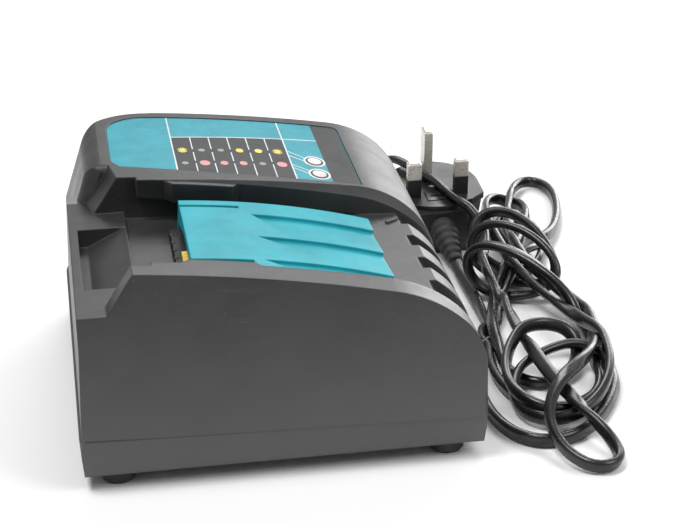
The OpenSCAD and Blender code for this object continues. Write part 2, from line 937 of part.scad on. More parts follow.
module cover_tongue() {
    on_bay_floor() {
        block_at([tongue_local_x, cover_y - tongue_w / 2, -tongue_drop],
                 [tongue_local_x + tongue_t, cover_y + tongue_w / 2, 20]);
        block_at([tongue_local_x, cover_y - tongue_w / 2 - 3, -tongue_drop],
                 [tongue_local_x + tongue_t, cover_y + tongue_w / 2 + 3, -wall - tongue_gap]);
    }
}

module terminal_cover() {
    color(accent_teal)
        difference() {
            intersection() {
                union() {
                    cover_arc(cover_rear_a, cover_front_a)
                        translate([cover_r - cover_t - shingle_d, cover_near_y])
                            square([cover_t + shingle_d, cover_w]);
                    for (y = [cover_near_y, cover_far_y - cover_t])
                        cover_arc(cover_rear_a, cover_front_a)
                            translate([cover_r - 12, y])
                                square([12, cover_t]);
                    cover_skirt();
                    intersection() {
                        cover_tongue();
                        cover_arc(cover_rear_a, cover_front_a)
                            translate([cover_r - 40, cover_near_y])
                                square([40 - cover_t, cover_w]);
                    }
                }
                union() {
                    on_bay_floor()
                        block_at([-big, -big, 0.4], [big, big, big]);
                    cover_tongue();
                }
            }
            shingle_cuts();
            block_at([cover_rear_x - 2, blade_y[0] - blade_slot_w / 2, step_z - 8],
                     [cover_rear_x + blade_slot_l, blade_y[0] + blade_slot_w / 2, big]);
            block_at([cover_rear_x - 2, blade_y[1] - blade_slot_w / 2, step_z - 8],
                     [cover_rear_x + blade_slot_l, blade_y[1] + blade_slot_w / 2, big]);
        }
}

// The rear skirt is deep on the far side and runs out towards the near side.
module cover_skirt() {
    intersection() {
        cover_arc(cover_rear_a, cover_rear_a + 0.35)
            translate([cover_r - 14, cover_near_y])
                square([14, cover_w]);
        along_x(-big, big)
            polygon([[cover_far_y, cover_rear_z - 9], [cover_far_y, big], [cover_near_y, big],
                     [cover_near_y, cover_rear_z], [cover_far_y - 40, cover_rear_z - 1]]);
    }
}

// One closed helix for the return spring.
module cover_spring() {
    turns = 9;
    steps = 12;
    sides = 6;
    r = (spring_d - spring_wire) / 2;
    len = spring_x1 - spring_x0 - spring_wire - 0.2;
    rings = [for (i = [0 : turns * steps])
        let (a = i * 360 / steps, x = len * i / (turns * steps))
            [for (k = [0 : sides - 1])
                let (b = k * 360 / sides, rr = r + spring_wire / 2 * cos(b))
                    [x + spring_wire / 2 * sin(b), rr * cos(a), rr * sin(a)]]];
    color("silver")
        on_bay_floor()
            translate([spring_x0 + 0.1 + spring_wire / 2, cover_y, -spring_axis_drop])
                tube_mesh(rings, sides);
}

// Skins a list of rings as one closed solid.
module tube_mesh(rings, sides) {
    n = len(rings);
    points = [for (ring = rings) each ring];
    walls = [for (i = [0 : n - 2], k = [0 : sides - 1])
        let (a = i * sides + k, b = i * sides + (k + 1) % sides)
            each [[a, b, b + sides], [a, b + sides, a + sides]]];
    first = [[for (k = [sides - 1 : -1 : 0]) k]];
    last = [[for (k = [0 : sides - 1]) (n - 1) * sides + k]];
    polyhedron(points, concat(walls, first, last), convexity = 10);
}

// ---------- terminals ----------

module terminal_block() {
    base_z = floor_z(well_x1) - wall - 0.3;
    low_top = floor_z(well_x0) + 1.6;
    x0 = well_x0 + well_gap;
    x1 = well_x1 - well_gap - 5;
    y0 = well_y0 + well_gap;
    y1 = well_y1 - well_gap;
    color([0.16, 0.16, 0.17])
        difference() {
            union() {
                block_at([x0, y0, base_z - 6], [x1, y1, low_top]);
                block_at([x0 - 5, y0 - 4, base_z - 6], [x1 + 5, y1 + 4, base_z - 2.4]);
                for (y = blade_y)
                    block_at([x0 + 3, max(y - 4, y0), low_top - 1], [x0 + 19, min(y + 4, y1), low_top + 0.6]);
                for (i = [0 : 6])
                    block_at([x0 - 0.4, y0 + 6 + i * 8, base_z], [x0 + 1, y0 + 8 + i * 8, low_top + 0.4]);
            }
            for (y = blade_y)
                block_at([x0 + 4.4, y - 0.5, -big], [x0 + 16.6, y + 0.5, big]);
            block_at([x0 + 1.8, signal_y - 5.3, base_z - 2], [x0 + 12.2, signal_y + 5.3, big]);
            for (i = [0 : 2])
                translate([signal_lead_x, signal_y + (i - 1) * signal_pitch, -1])
                    cylinder(d = 1.2, h = big, $fn = 24);
        }
}

module power_blades() {
    x0 = well_x0 + well_gap + 4.4;
    base_z = floor_z(well_x1) - wall - 6.3;
    color([0.78, 0.66, 0.4])
        for (y = blade_y) {
            block_at([x0 + 0.1, y - 0.4, base_z - 4], [x0 + 12.1, y + 0.4, floor_z(well_x0) + 9.5]);
        }
}

module signal_connector() {
    x0 = well_x0 + well_gap + 2;
    z0 = floor_z(well_x1) - wall - 2.2;
    color([0.93, 0.74, 0.14])
        difference() {
            block_at([x0, signal_y - 5.1, z0], [x0 + 10, signal_y + 5.1, floor_z(well_x0) + 7]);
            for (i = [0 : 2])
                translate([x0 + 2, signal_y + (i - 1) * signal_pitch - 0.6, z0 + 3])
                    cube([10, 1.2, 20]);
            for (i = [0 : 2])
                translate([signal_lead_x, signal_y + (i - 1) * signal_pitch, -1])
                    cylinder(d = 1.2, h = big, $fn = 24);
        }
}

// ---------- electronics ----------

module circuit_board() {
    color([0.13, 0.4, 0.22])
        difference() {
            block_at([-board_x, -board_y, board_z], [board_x, board_y, board_top]);
            for (sx = [-1, 1], sy = [-1, 1]) {
                translate([sx * board_post_x, sy * board_post_y, 0])
                    cylinder(d = 3.2, h = big, $fn = 48);
                translate([sx * screw_x, sy * screw_y, 0])
                    cylinder(r = boss_r + 1.2, h = big, $fn = 64);
            }
        }
}

module board_screws() {
    color("silver")
        for (sx = [-1, 1], sy = [-1, 1])
            translate([sx * board_post_x, sy * board_post_y, 0]) {
                translate([0, 0, board_top])
                    cylinder(d = 5.6, h = 2, $fn = 48);
                translate([0, 0, board_top - 6])
                    cylinder(d = 2.4, h = 6.5, $fn = 48);
            }
}

module transformer_core() {
    color([0.2, 0.2, 0.21])
        translate([transformer_pos[0], transformer_pos[1], board_top + 3])
            difference() {
                block_at([-18, -16, 0], [18, 16, 30]);
                block_at([-12, -17, 6], [-6, 17, 24]);
                block_at([6, -17, 6], [12, 17, 24]);
            }
}

module transformer_winding() {
    color([0.82, 0.62, 0.2])
        translate([transformer_pos[0], transformer_pos[1], board_top]) {
            difference() {
                block_at([-11.8, -21, 9.2], [11.8, 21, 26.8]);
                block_at([-6.2, -22, -1], [6.2, 22, 40]);
            }
            difference() {
                block_at([-11.8, -21, 9.2], [11.8, 21, 26.8]);
                block_at([-14, -16.2, -1], [14, 16.2, 40]);
            }
            for (sx = [-1, 1], sy = [-1, 1])
                translate([sx * 9, sy * 18.6, 0])
                    cylinder(d = 1.2, h = 10, $fn = 24);
        }
}

module filter_choke() {
    color([0.72, 0.4, 0.16])
        translate([choke_pos[0], choke_pos[1], board_top + 12])
            rotate([90, 0, 0])
                rotate_extrude($fn = 96)
                    translate([7.5, 0])
                        circle(d = 9, $fn = 48);
}

module mains_capacitor() {
    color([0.12, 0.13, 0.2])
        translate([capacitor_pos[0], capacitor_pos[1], board_top + 9])
            rotate([-90, 0, 0])
                rotate_extrude($fn = 96)
                    polygon([[0, 0], [8, 0], [9, 1], [9, 3], [8.4, 3.6], [8.4, 4.4], [9, 5], [9, 35], [8, 36],
                             [0, 36]]);
}

module output_capacitors() {
    color([0.15, 0.17, 0.24])
        for (i = [0 : 2])
            translate([output_pos[0] - i * output_pitch, output_pos[1], board_top])
                rotate_extrude($fn = 64)
                    polygon([[0, 0], [5, 0], [5, 1.6], [4.6, 2], [5, 2.4], [5, 19], [4.4, 20], [0, 20]]);
}

module heat_sinks() {
    color([0.72, 0.73, 0.75])
        for (x = heat_sink_x)
            translate([x, heat_sink_y - heat_sink_l / 2, board_top]) {
                block_at([-1.5, 0, 0], [1.5, heat_sink_l, 28]);
                for (i = [0 : 5])
                    block_at([1.4, i * (heat_sink_l - 2) / 5, 4], [10, i * (heat_sink_l - 2) / 5 + 2, 28]);
            }
}

module power_transistors() {
    color([0.1, 0.1, 0.1])
        for (x = heat_sink_x, dy = [-heat_sink_l / 4, heat_sink_l / 4])
            translate([x - 1.6 - 4.5, heat_sink_y + dy, board_top]) {
                block_at([0, -5, 8], [4.5, 5, 23]);
                for (i = [-1 : 1])
                    block_at([1.8, i * 2.5 - 0.4, 0], [2.6, i * 2.5 + 0.4, 9]);
            }
}

module input_fuse() {
    color([0.85, 0.85, 0.86])
        translate([fuse_pos[0], fuse_pos[1], board_top + 3.2]) {
            rotate([0, 90, 0])
                cylinder(d = 5, h = fuse_l, $fn = 48);
            for (x = [0, fuse_l - 5])
                rotate([0, 90, 0])
                    translate([0, 0, x])
                        cylinder(d = 6, h = 5, $fn = 48);
        }
}

module lamp_board() {
    color([0.13, 0.4, 0.22])
        block_at([lens_x - 14, lens_y - 8, lamp_board_z],
                 [lens_x + 6, lens_y + lens_pitch + 8, lamp_board_z + board_t]);
}

module lamps() {
    color([0.9, 0.9, 0.85])
        lens_at()
            translate([0, 0, lamp_board_z + board_t]) {
                cylinder(d = 3, h = 2.2, $fn = 48);
                cylinder(d = 4, h = 0.8, $fn = 48);
            }
}

module blade_leads() {
    top = floor_z(well_x1) - wall - 10.3;
    color([0.75, 0.12, 0.1])
        for (y = blade_y)
            translate([blade_lead_x, y, board_top])
                cylinder(d = 3, h = top - board_top, $fn = 32);
    color([0.95, 0.9, 0.3])
        for (i = [0 : 2])
            translate([signal_lead_x, signal_y + (i - 1) * signal_pitch, board_top])
                cylinder(d = 1.1, h = top + 8 - board_top, $fn = 24);
}

module lamp_lead() {
    color([0.8, 0.8, 0.82])
        for (i = [0 : 3])
            translate([lens_x - 11, lens_y + 4 + i * 3, board_top])
                cylinder(d = 1.4, h = lamp_board_z - board_top, $fn = 24);
}

// ---------- fasteners, feet and gland ----------

module case_screws() {
    color("silver")
        for (sx = [-1, 1], sy = [-1, 1])
            translate([sx * screw_x, sy * screw_y, floor_gap + 4])
                difference() {
                    union() {
                        translate([0, 0, -2.4])
                            cylinder(d = screw_d * 2, h = 2.4, $fn = 64);
                        translate([0, 0, -0.5])
                            cylinder(d = screw_d - 0.6, h = screw_l, $fn = 48);
                    }
                    for (a = [0, 90])
                        rotate([0, 0, a])
                            block_at([-2, -0.5, -3], [2, 0.5, -1]);
                }
}

module feet() {
    r = foot_d / 2;
    color([0.07, 0.07, 0.07])
        for (sx = [-1, 1], sy = [-1, 1])
            translate([sx * foot_x, sy * foot_y, 0])
                rotate_extrude($fn = 96)
                    polygon([[0, 0.8], [r - 3, 0.8], [r - 2.4, 0], [r - 1, 0], [r, 1.2], [r, floor_gap + 0.8],
                             [foot_stem_d / 2, floor_gap + 0.8], [foot_stem_d / 2, floor_gap + wall + 0.4],
                             [foot_stem_d / 2 - 0.8, floor_gap + wall + 1.2], [0, floor_gap + wall + 1.2]]);
}

// The sleeve that guides the lead out of the back wall, with ribs that let it bend.
module cord_gland() {
    out_y = half_w - 1;
    color(lead_black)
        translate([gland_x, out_y, gland_z])
            rotate([-90, 0, 0])
                difference() {
                    rotate_extrude($fn = 96)
                        polygon([[0, -6.6], [gland_flange_r, -6.6], [gland_flange_r, -5.4],
                                 [gland_neck_r - 0.1, -5.4], [gland_neck_r - 0.1, 1.2], [gland_r, 1.2],
                                 [gland_r, 4], [4.4, 5], [4.4, 7],
                                 [4.8, 7.6], [4.7, 9.4], [4.1, 10], [4.1, 12], [4.5, 12.6], [4.4, 14.4],
                                 [3.8, 15], [3.8, 17], [4.2, 17.6], [4.1, 19.4], [3.5, 20], [3.3, 25],
                                 [0, 25]]);
                }
}

// ---------- mains lead ----------

// Catmull-Rom point at t between b and c.
function spline(a, b, c, d, t) =
    0.5 * (2 * b + (c - a) * t + (2 * a - 5 * b + 4 * c - d) * t * t + (3 * b - a - 3 * c + d) * t * t * t);

// Points along the route, about lead_ring_gap apart.
function route(p) =
    let (n = len(p))
    concat([for (i = [0 : n - 2])
        let (a = p[max(i - 1, 0)], b = p[i], c = p[i + 1], d = p[min(i + 2, n - 1)],
             steps = max(1, round(norm(c - b) / lead_ring_gap)))
            each [for (s = [0 : steps - 1]) spline(a, b, c, d, s / steps)]], [p[n - 1]]);

function unit(v) = v / norm(v);

// Rings square to the route, as they are swept along it.
function lead_rings(path, r) =
    let (n = len(path))
    [for (i = [0 : n - 1])
        let (dir = unit(path[min(i + 1, n - 1)] - path[max(i - 1, 0)]),
             side = unit(cross(dir, [0, 0, 1])),
             up = cross(side, dir))
            [for (k = [0 : lead_sides - 1])
                path[i] + r * (cos(k * 360 / lead_sides + 22.5) * side + sin(k * 360 / lead_sides + 22.5) * up)]];

module lead(points) {
    color(lead_black)
        tube_mesh(lead_rings(route(points), cord_d / 2), lead_sides);
}

module cord_lead() {
    lead(lead_points);
}

module cord_tail() {
    lead(tail_points);
}

// Outline with round ends that runs along x from x0 to x1, as wide there as the folded lead is.
module hank_2d(x0, x1, inset = 0) {
    l = norm(hank_far - hank_near);
    d0 = hank_near_d + (hank_far_d - hank_near_d) * x0 / l - 2 * inset;
    d1 = hank_near_d + (hank_far_d - hank_near_d) * x1 / l - 2 * inset;
    polygon([[x0, -d0 / 2], [x1, -d1 / 2], [x1, d1 / 2], [x0, d0 / 2]]);
    translate([x0, 0])
        circle(d = d0, $fn = 96);
    translate([x1, 0])
        circle(d = d1, $fn = 96);
}

// Outer shape of the folded lead: long loops, with a higher waist where it is wrapped.
module cord_hank() {
    run = hank_far - hank_near;
    color(lead_black)
        translate([hank_near[0], hank_near[1], 0])
            rotate([0, 0, atan2(run[1], run[0])]) {
                linear_extrude(hank_loop_h)
                    hank_2d(0, norm(run));
                linear_extrude(hank_waist_h)
                    hank_2d(hank_waist_start, hank_waist_start + hank_waist_l, 1);
            }
}

// ---------- plug ----------

module in_plug_plan() {
    translate([plug_pos[0], plug_pos[1], 0])
        rotate([0, 0, plug_turn])
            children();
}

module on_plug_face() {
    translate(plug_pos)
        rotate([0, 0, plug_turn])
            rotate([plug_lean, 0, 0])
                children();
}

// Plan of the plug: round at the far end, straight sides, and a nose that narrows to the boot.
module plug_plan_2d(near, nose_w, inset = 0) {
    r = plug_w / 2 - inset;
    translate([0, plug_far - plug_w / 2])
        circle(r, $fn = fine_fn);
    polygon([[-r, plug_far - plug_w / 2], [-r, -2], [-nose_w / 2 + inset, -near + inset],
             [nose_w / 2 - inset, -near + inset], [r, -2], [r, plug_far - plug_w / 2]]);
}

module plug_body() {
    color(lead_black)
        difference() {
            union() {
                intersection() {
                    in_plug_plan() {
                        linear_extrude(60)
                            plug_plan_2d(plug_nose, 24, 0.6);
                    }
                    in_plug_plan()
                        along_y(-big, big)
                            polygon([[-back_w / 2, 0], [-plug_w / 2, 26], [-plug_w / 2, 60], [plug_w / 2, 60],
                                     [plug_w / 2, 26], [back_w / 2, 0]]);
                    in_plug_plan()
                        along_x(-big, big)
                            polygon([[3 - plug_nose, 0], [-plug_nose, 6], [-plug_nose, 60], [plug_far, 60],
                                     [plug_far, 24], [plug_far - 6, 0]]);
                    on_plug_face()
                        translate([-big, -big, -big - face_t])
                            cube([2 * big, 2 * big, big]);
                }
                on_plug_face()
                    translate([0, 0, -face_t - 0.5])
                        linear_extrude(face_t + 0.5)
                            plug_plan_2d(plug_near, 30);
            }
            on_plug_face() {
                block_at([-pin_spacing / 2 - 3.3, -2.05, -9], [-pin_spacing / 2 + 3.3, 2.05, 1]);
                block_at([pin_spacing / 2 - 3.3, -2.05, -9], [pin_spacing / 2 + 3.3, 2.05, 1]);
                block_at([-2.05, earth_spacing - 4.05, -9], [2.05, earth_spacing + 4.05, 1]);
                block_at([-5.6, -6.2, -3], [5.6, 1.7, 1]);
                translate([0, 9.5, -4])
                    cylinder(d = 6.4, h = 5, $fn = 48);
            }
        }
}

module plug_pins() {
    color([0.8, 0.76, 0.66])
        on_plug_face() {
            for (sx = [-1, 1])
                translate([sx * pin_spacing / 2, 0, 0]) {
                    block_at([-3.18, -1.98, 9], [3.18, 1.98, 17]);
                    block_at([-2.6, -1.4, -8], [2.6, 1.4, 9]);
                    block_at([-2.6, -1.5, 17], [2.6, 1.5, 17.7]);
                }
            translate([0, earth_spacing, 0]) {
                block_at([-1.98, -3.96, -8], [1.98, 3.96, 22]);
                block_at([-1.5, -3.3, 22], [1.5, 3.3, 22.7]);
            }
        }
}

module plug_pin_sleeves() {
    color(lead_black)
        on_plug_face()
            for (sx = [-1, 1])
                translate([sx * pin_spacing / 2, 0, 0])
                    difference() {
                        block_at([-3.18, -1.98, -8], [3.18, 1.98, 9]);
                        block_at([-2.6, -1.4, -9], [2.6, 1.4, 10]);
                    }
}

module plug_fuse_carrier() {
    color([0.6, 0.1, 0.1])
        on_plug_face()
            difference() {
                block_at([-5.4, -6, -3], [5.4, 1.5, 0.3]);
                block_at([-3.6, -3, -0.3], [3.6, -1.6, 1]);
            }
}

module plug_screw() {
    color("silver")
        on_plug_face()
            translate([0, 9.5, -4])
                difference() {
                    cylinder(d = 6, h = 2.4, $fn = 48);
                    block_at([-3.5, -0.5, 1.6], [3.5, 0.5, 3]);
                }
}

// The flexible boot, ribbed so that it bends, narrowing to the lead.
module plug_boot() {
    ribs = 5;
    pitch = (boot_l - 2) / ribs;
    taper = (boot_root_r - boot_tip_r) / boot_l;
    outline = [for (i = [0 : ribs - 1])
        let (y = i * pitch, r = boot_tip_r + taper * y)
            each [[r, y], [r + 0.5, y + 0.6], [r + 0.8, y + pitch - 1.6], [r - 0.2, y + pitch - 1]]];
    color(lead_black)
        difference() {
            in_plug_plan()
                translate([0, -plug_nose, boot_z])
                    rotate([boot_fall, 0, 0])
                        rotate([90, 0, 0])
                            mirror([0, 0, 1])
                                translate([0, 0, -boot_l])
                                    rotate_extrude($fn = 96)
                                        polygon(concat([[0, 0]], outline,
                                                       [[boot_root_r, boot_l - 2], [boot_root_r, boot_l + 3],
                                                        [0, boot_l + 3]]));
            in_plug_plan()
                block_at([-20, -plug_nose + 0.6, -5], [20, 20, 40]);
        }
}

lower_case();
upper_case();
label_panel();
lamp_lenses();
terminal_cover();
cover_spring();
terminal_block();
power_blades();
signal_connector();
circuit_board();
board_screws();
transformer_core();
transformer_winding();
filter_choke();
mains_capacitor();
output_capacitors();
heat_sinks();
power_transistors();
input_fuse();
lamp_board();
lamps();
blade_leads();
lamp_lead();
case_screws();
feet();
cord_gland();
cord_lead();
cord_hank();
cord_tail();
plug_body();
plug_boot();
plug_pins();
plug_pin_sleeves();
plug_fuse_carrier();
plug_screw();
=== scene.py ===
"""Slide-in battery charger: mains lead, plug, finishes, label artwork and stage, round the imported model."""

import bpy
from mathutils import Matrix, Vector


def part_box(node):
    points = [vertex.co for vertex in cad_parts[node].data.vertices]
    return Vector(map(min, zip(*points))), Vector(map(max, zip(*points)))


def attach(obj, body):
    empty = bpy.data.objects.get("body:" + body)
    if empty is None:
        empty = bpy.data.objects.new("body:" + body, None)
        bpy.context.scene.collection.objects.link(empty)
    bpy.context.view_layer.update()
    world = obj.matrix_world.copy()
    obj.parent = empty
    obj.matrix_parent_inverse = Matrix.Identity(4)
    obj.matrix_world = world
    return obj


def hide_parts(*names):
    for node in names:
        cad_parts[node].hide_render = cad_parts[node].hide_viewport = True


bl_info = {
    "name": "Slide-in battery charger",
    "version": (1, 0, 0),
    "blender": (4, 5, 0),
    "location": "3D View > Sidebar > Charger",
    "description": "Builds the lead, the moulded finishes, the label and the stage of a battery charger",
    "category": "Add Mesh",
}

import math
from functools import partial

import bmesh
import bpy
import numpy as np
from bpy.props import FloatProperty, FloatVectorProperty, PointerProperty
from mathutils import Matrix, Vector
from mathutils.bvhtree import BVHTree

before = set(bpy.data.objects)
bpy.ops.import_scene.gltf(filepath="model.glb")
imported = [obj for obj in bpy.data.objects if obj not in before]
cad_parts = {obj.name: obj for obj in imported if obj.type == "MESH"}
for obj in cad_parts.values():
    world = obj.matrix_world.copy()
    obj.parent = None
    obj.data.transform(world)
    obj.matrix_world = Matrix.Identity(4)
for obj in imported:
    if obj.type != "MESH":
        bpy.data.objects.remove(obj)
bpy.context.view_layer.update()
MM = 0.001

# ---------------------------------------------------------------- the mains lead's route, in millimetres

# From the gland, behind the case and over the plug's face.
LEAD_POINTS = [
    (20, 119, 13.2), (21, 130, 11), (25, 143, 6), (33, 155, 3.2), (44, 164, 3.2), (56, 168, 6),
    (66, 166, 15), (74, 160, 25), (80, 152.5, 31.5), (84, 146, 33.2), (89.5, 139, 31.6),
    (94.6, 131, 29.8), (99, 122.5, 28.4), (102.4, 113, 27), (107, 103.5, 25), (113, 95.5, 21)]
# Through the waist and across to the long loop at the near end, over the ring and back up the right side.
END_LOOP_POINTS = [
    (113, 82, 17), (106, 62.7, 17), (105, 38, 16), (106, 15, 15), (105.5, -16, 15), (106.4, -40, 15),
    (108.2, -63, 15), (113, -79, 13), (119.6, -91, 8), (124, -101, 4), (124, -111, 3), (118.6, -118, 3),
    (112, -118, 3), (104.8, -112.5, 4), (99.2, -101, 7), (97.8, -89.3, 11), (101, -78, 16),
    (108.3, -70, 21), (118.7, -59, 20), (129.5, -40, 16), (137, -16, 13), (138, 3, 12), (135.6, 25, 11),
    (131.7, 45, 11), (127, 61, 11), (127, 85, 10), (129, 100, 9)]
# The tall loop at the far end.
FAR_LOOP_POINTS = [
    (132, 120, 8), (138, 146, 7), (145, 170, 6), (153, 185, 5), (161, 186, 4), (166, 173, 4),
    (163, 150, 4), (155, 122, 5), (144, 98, 7), (131, 80, 9), (122, 66, 9)]
# Down the left side, round the near end and once more round the raised ring, then up the right side.
RING_POINTS = [
    (113, 47, 7), (104, 28, 4), (97, 4, 3), (92, -20, 3), (92, -44, 3), (96, -59, 3), (105, -68, 3),
    (116, -67, 3), (127, -57, 4), (135, -45, 7), (137, -31, 11), (132, -24, 14), (123, -26, 15),
    (114, -30, 14), (107, -30, 13), (100, -36, 12), (94, -46, 9), (92, -58, 7), (95, -72, 6),
    (102, -81, 6), (113, -80, 7), (123, -72, 9), (131, -60, 13), (136, -42, 15), (135, -20, 15),
    (131, 1, 14), (125, 26, 13), (121, 49, 13), (119, 68, 14)]
# The small loop beside the tall one.
SHORT_LOOP_POINTS = [
    (119, 98, 14), (122, 126, 12), (127, 149, 9), (133, 161, 7), (141, 162, 6), (146, 151, 6),
    (143, 128, 7), (132, 100, 9)]
# Down the left side again, round the inner arc and the ring, and up to the wraps.
INNER_ARC_POINTS = [
    (118, 67, 9), (107, 38, 7), (99, 9, 6), (96, -14, 6), (96, -29, 4), (101, -41, 3), (109, -47, 3),
    (119, -41, 4), (128, -28, 8), (131, -18, 13), (124, -12, 17), (115, -10, 17), (107, -14, 17),
    (100, -24, 16), (94, -36, 14), (91, -50, 11), (92, -63, 8), (98, -74, 7), (109, -77, 7),
    (120, -71, 7), (129, -60, 8), (133, -45, 8), (134, -25, 8), (136, -8, 9)]
# The waist is wrapped from the near side to the far side: the right end of each turn, its crest, its left
# end and its lowest point, under the runs.
WRAP_STEPS = 12
WRAP_RIGHT = ((138.4, 8.7, 10), (140, 40, 14), (139, 47, 13), (137, 76, 7))
WRAP_CREST = ((108, 33, 31), (115, 64, 31), (122, 87, 30), (122, 92, 28))
WRAP_LEFT = ((94.5, 49.7, 15), (96.5, 58, 15), (104, 83, 15), (106, 86, 14))
WRAP_FOOT = ((110, 30, 2.8), (116, 50, 2.8), (120, 66, 2.8), (121, 72, 2.8))
# The last run, round the outside of everything on the floor.
OUTER_ARC_POINTS = [
    (142, 92, 6), (146, 114, 5), (144, 132, 5), (136, 141, 5), (128, 134, 5), (125, 118, 6),
    (127, 98, 8), (131, 74, 9), (135, 46, 8), (139, 18, 5), (141, -7, 3), (139, -35, 3), (135, -53, 3),
    (127, -70, 3), (117, -84, 3), (107, -92, 3), (97, -94, 3), (89, -88, 3), (84, -76, 3), (82, -59, 3),
    (83, -40, 3), (87, -20, 3), (93, -6, 3)]
# Along the floor to the plug's boot.
TAIL_POINTS = [
    (98.5, 4, 3.1), (99.6, 14, 3.1), (99.6, 28, 3.1), (99.9, 42, 3.1), (99.8, 56, 3.1), (99.4, 68, 3.7),
    (98.9, 76, 4.9), (98.6, 82, 6.2)]

# The route is settled on points this far apart, which lie down on the floor and on each other.
SETTLE_SPACING, SETTLE_STEPS = 4.0, 260
# In each step a point goes HOME_SHARE of the way back to its route and STRAIGHT_SHARE of the way to the
# middle of its neighbours, and sinks by SAG.
HOME_SHARE, STRAIGHT_SHARE, SAG = 0.035, 0.3, 0.03
# Two runs keep this much of the width and of the thickness between their middles, or go PUSH_SHARE of what
# is missing apart. A point that is pushed by several others counts each of them less.
WIDTH_KEPT, THICKNESS_KEPT, PUSH_SHARE, PUSH_CROWDING = 0.55, 0.45, 0.45, 0.5
# Points nearer than this along the lead don't push, and over as many points it comes free of its held ends.
NEIGHBOURS = 6
# After every so many steps the lead is rounded by a share. It stays FLOOR_GAP off the floor, also where it
# stands on its edge.
ROUNDING_EVERY, ROUNDING_SHARE = 20, 0.5
FLOOR_GAP = 0.3
# The held ends stop this many points before the first loop.
HELD_OVERLAP = 2
# The flat side follows the bends over this length, wholly where they are sharp, and twists slowly.
TURN_REACH, BEND_GAIN = 26, 40
# The height of each twist in radians, its length in millimetres and where it starts.
TWISTS = ((0.3, 61, 0), (0.25, 37, 1))
LEAD_SIDES = 16

# ---------------------------------------------------------------- the label's artwork, in millimetres

# A sheet reaches this far into the film, and each layer of ink lies this much over the one before.
SHEET_SINK, INK_LAYER = 0.02, 0.04
# The film's edge is looked for in steps, and the ink ends a margin inside it.
EDGE_STEP, EDGE_MARGIN, BAND_MARGIN = 0.25, 0.2, 0.25
# The film curves along x alone, so its height is read along one line, this far in from its far edge.
HEIGHT_LINE = 22
RAY_START = 200
LINE_WIDTH = 0.55
TABLE_LINE, COLUMN_LINE = 1.4 * LINE_WIDTH, 0.8 * LINE_WIDTH
# The dark table lies between the two ruled lines, and the dark band round the lenses starts at BAND_X.
RULE_X = (-27.7, 19.8)
BAND_X = 34.5
# Where the lines between the table's columns stand, and the middles of the columns.
COLUMN_LINES = (-19.6, -11.8, -3.9, 4.0, 12.0)
COLUMNS = (-23.9, -15.9, -8.0, -0.1, 7.8, 15.8)
# The breaks in a column line, where it passes the rows.
COLUMN_BREAKS = ((28.9, 32.0), (42.6, 46.6))
# Places of the table's top and of its rows at x = 0, and how much they climb per millimetre.
TABLE_TOP, TABLE_CLIMB = 62.0, 0.08
UPPER_ROW, LOWER_ROW, ROW_CLIMB = 45.2, 29.3, 0.075
UPPER_SIGNS = ("burst", "off", "off", "yellow", "yellow", "burst")
LOWER_SIGNS = ("off", "red", "pink", "pink", "off", "red")
# The ink of each sign, and its reach along and across the table.
SIGNS = {"burst": ("yellow", 1.15, 1.7), "off": ("grey", 1.4, 1.7), "yellow": ("yellow", 1.6, 2.4),
         "red": ("pink", 2.1, 3.0), "pink": ("pink", 1.6, 2.4)}
# A burst's rays: how many, how far out their middles are, their least reach and what their direction adds.
BURST_RAYS, RAY_PLACE, RAY_LEAST, RAY_MORE = 10, (1.6, 2.4), (0.18, 0.2), (0.45, 0.7)
# Inner and outer reach of the rings round the lenses, which are longer across the label than along it.
LENS_RINGS = (("charcoal", 2.7, 3.65), ("white", 3.65, 4.5))
LENS_OVAL, LENS_HALF_LENGTH = 1.42, 3.9
SIGN_CORNERS, RING_CORNERS = 28, 48
# The lines from the table to the lenses.
CALL_OUTS = (((20.2, 48.0), (26.6, 40.2)), ((20.2, 42.4), (26.2, 36.4)), ((20.2, 31.2), (26.6, 24.6)),
             ((20.2, 27.4), (26.2, 21.0)))

# ---------------------------------------------------------------- the stage, in metres

# The lens, in pixels of a render 700 wide and on a sensor in millimetres.
FOCAL_PIXELS, RENDER_WIDTH, SENSOR_WIDTH = 2038.3, 700, 36
CAMERA_NEAR = 0.01
FLOOR_REACH, FLOOR_ROUGHNESS = 6, 0.7
# How bright the world is for each kind of ray, on top of its plain light.
WORLD_SEEN = (("Is Camera Ray", 0.78), ("Is Transmission Ray", 0.78), ("Is Glossy Ray", 0.26))
# Name, place, width and power of each lamp, and the point that all of them face.
LAMPS = (("key", (-0.4, -0.2, 1.4), 0.6, 14), ("fill", (0.9, -0.6, 1.0), 0.9, 9),
         ("back", (0.3, 1.1, 1.1), 0.8, 9), ("side", (1.0, 1.3, 0.4), 0.9, 10))
LAMP_TARGET = (0.03, 0, 0.04)

# ---------------------------------------------------------------- helpers for shapes


def cad_box_mm(node):
    """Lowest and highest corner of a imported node, in millimetres."""
    low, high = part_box(node)
    return np.array(low) / MM, np.array(high) / MM


def mesh_object(name, verts, faces, body):
    """A piece from points in millimetres, riding on a body."""
    mesh = bpy.data.meshes.new(name)
    mesh.from_pydata([tuple(float(c) * MM for c in v) for v in verts], [], faces)
    mesh.update()
    piece = bpy.data.objects.new(name, mesh)
    bpy.context.scene.collection.objects.link(piece)
    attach(piece, body)
    return piece


def catmull_rom(points, gap):
    """A smooth path through points, with a point about every gap millimetres."""
    p = np.array(points, float)
    padded = np.vstack([2 * p[0] - p[1], p, 2 * p[-1] - p[-2]])
    out = []
    for a, b, c, d in zip(padded, padded[1:], padded[2:], padded[3:]):
        steps = max(1, round(np.linalg.norm(c - b) / gap))
        for t in np.arange(steps) / steps:
            out.append(0.5 * (2 * b + (c - a) * t + (2 * a - 5 * b + 4 * c - d) * t ** 2
                              + (3 * b - a - 3 * c + d) * t ** 3))
    return np.array(out + [p[-1]])


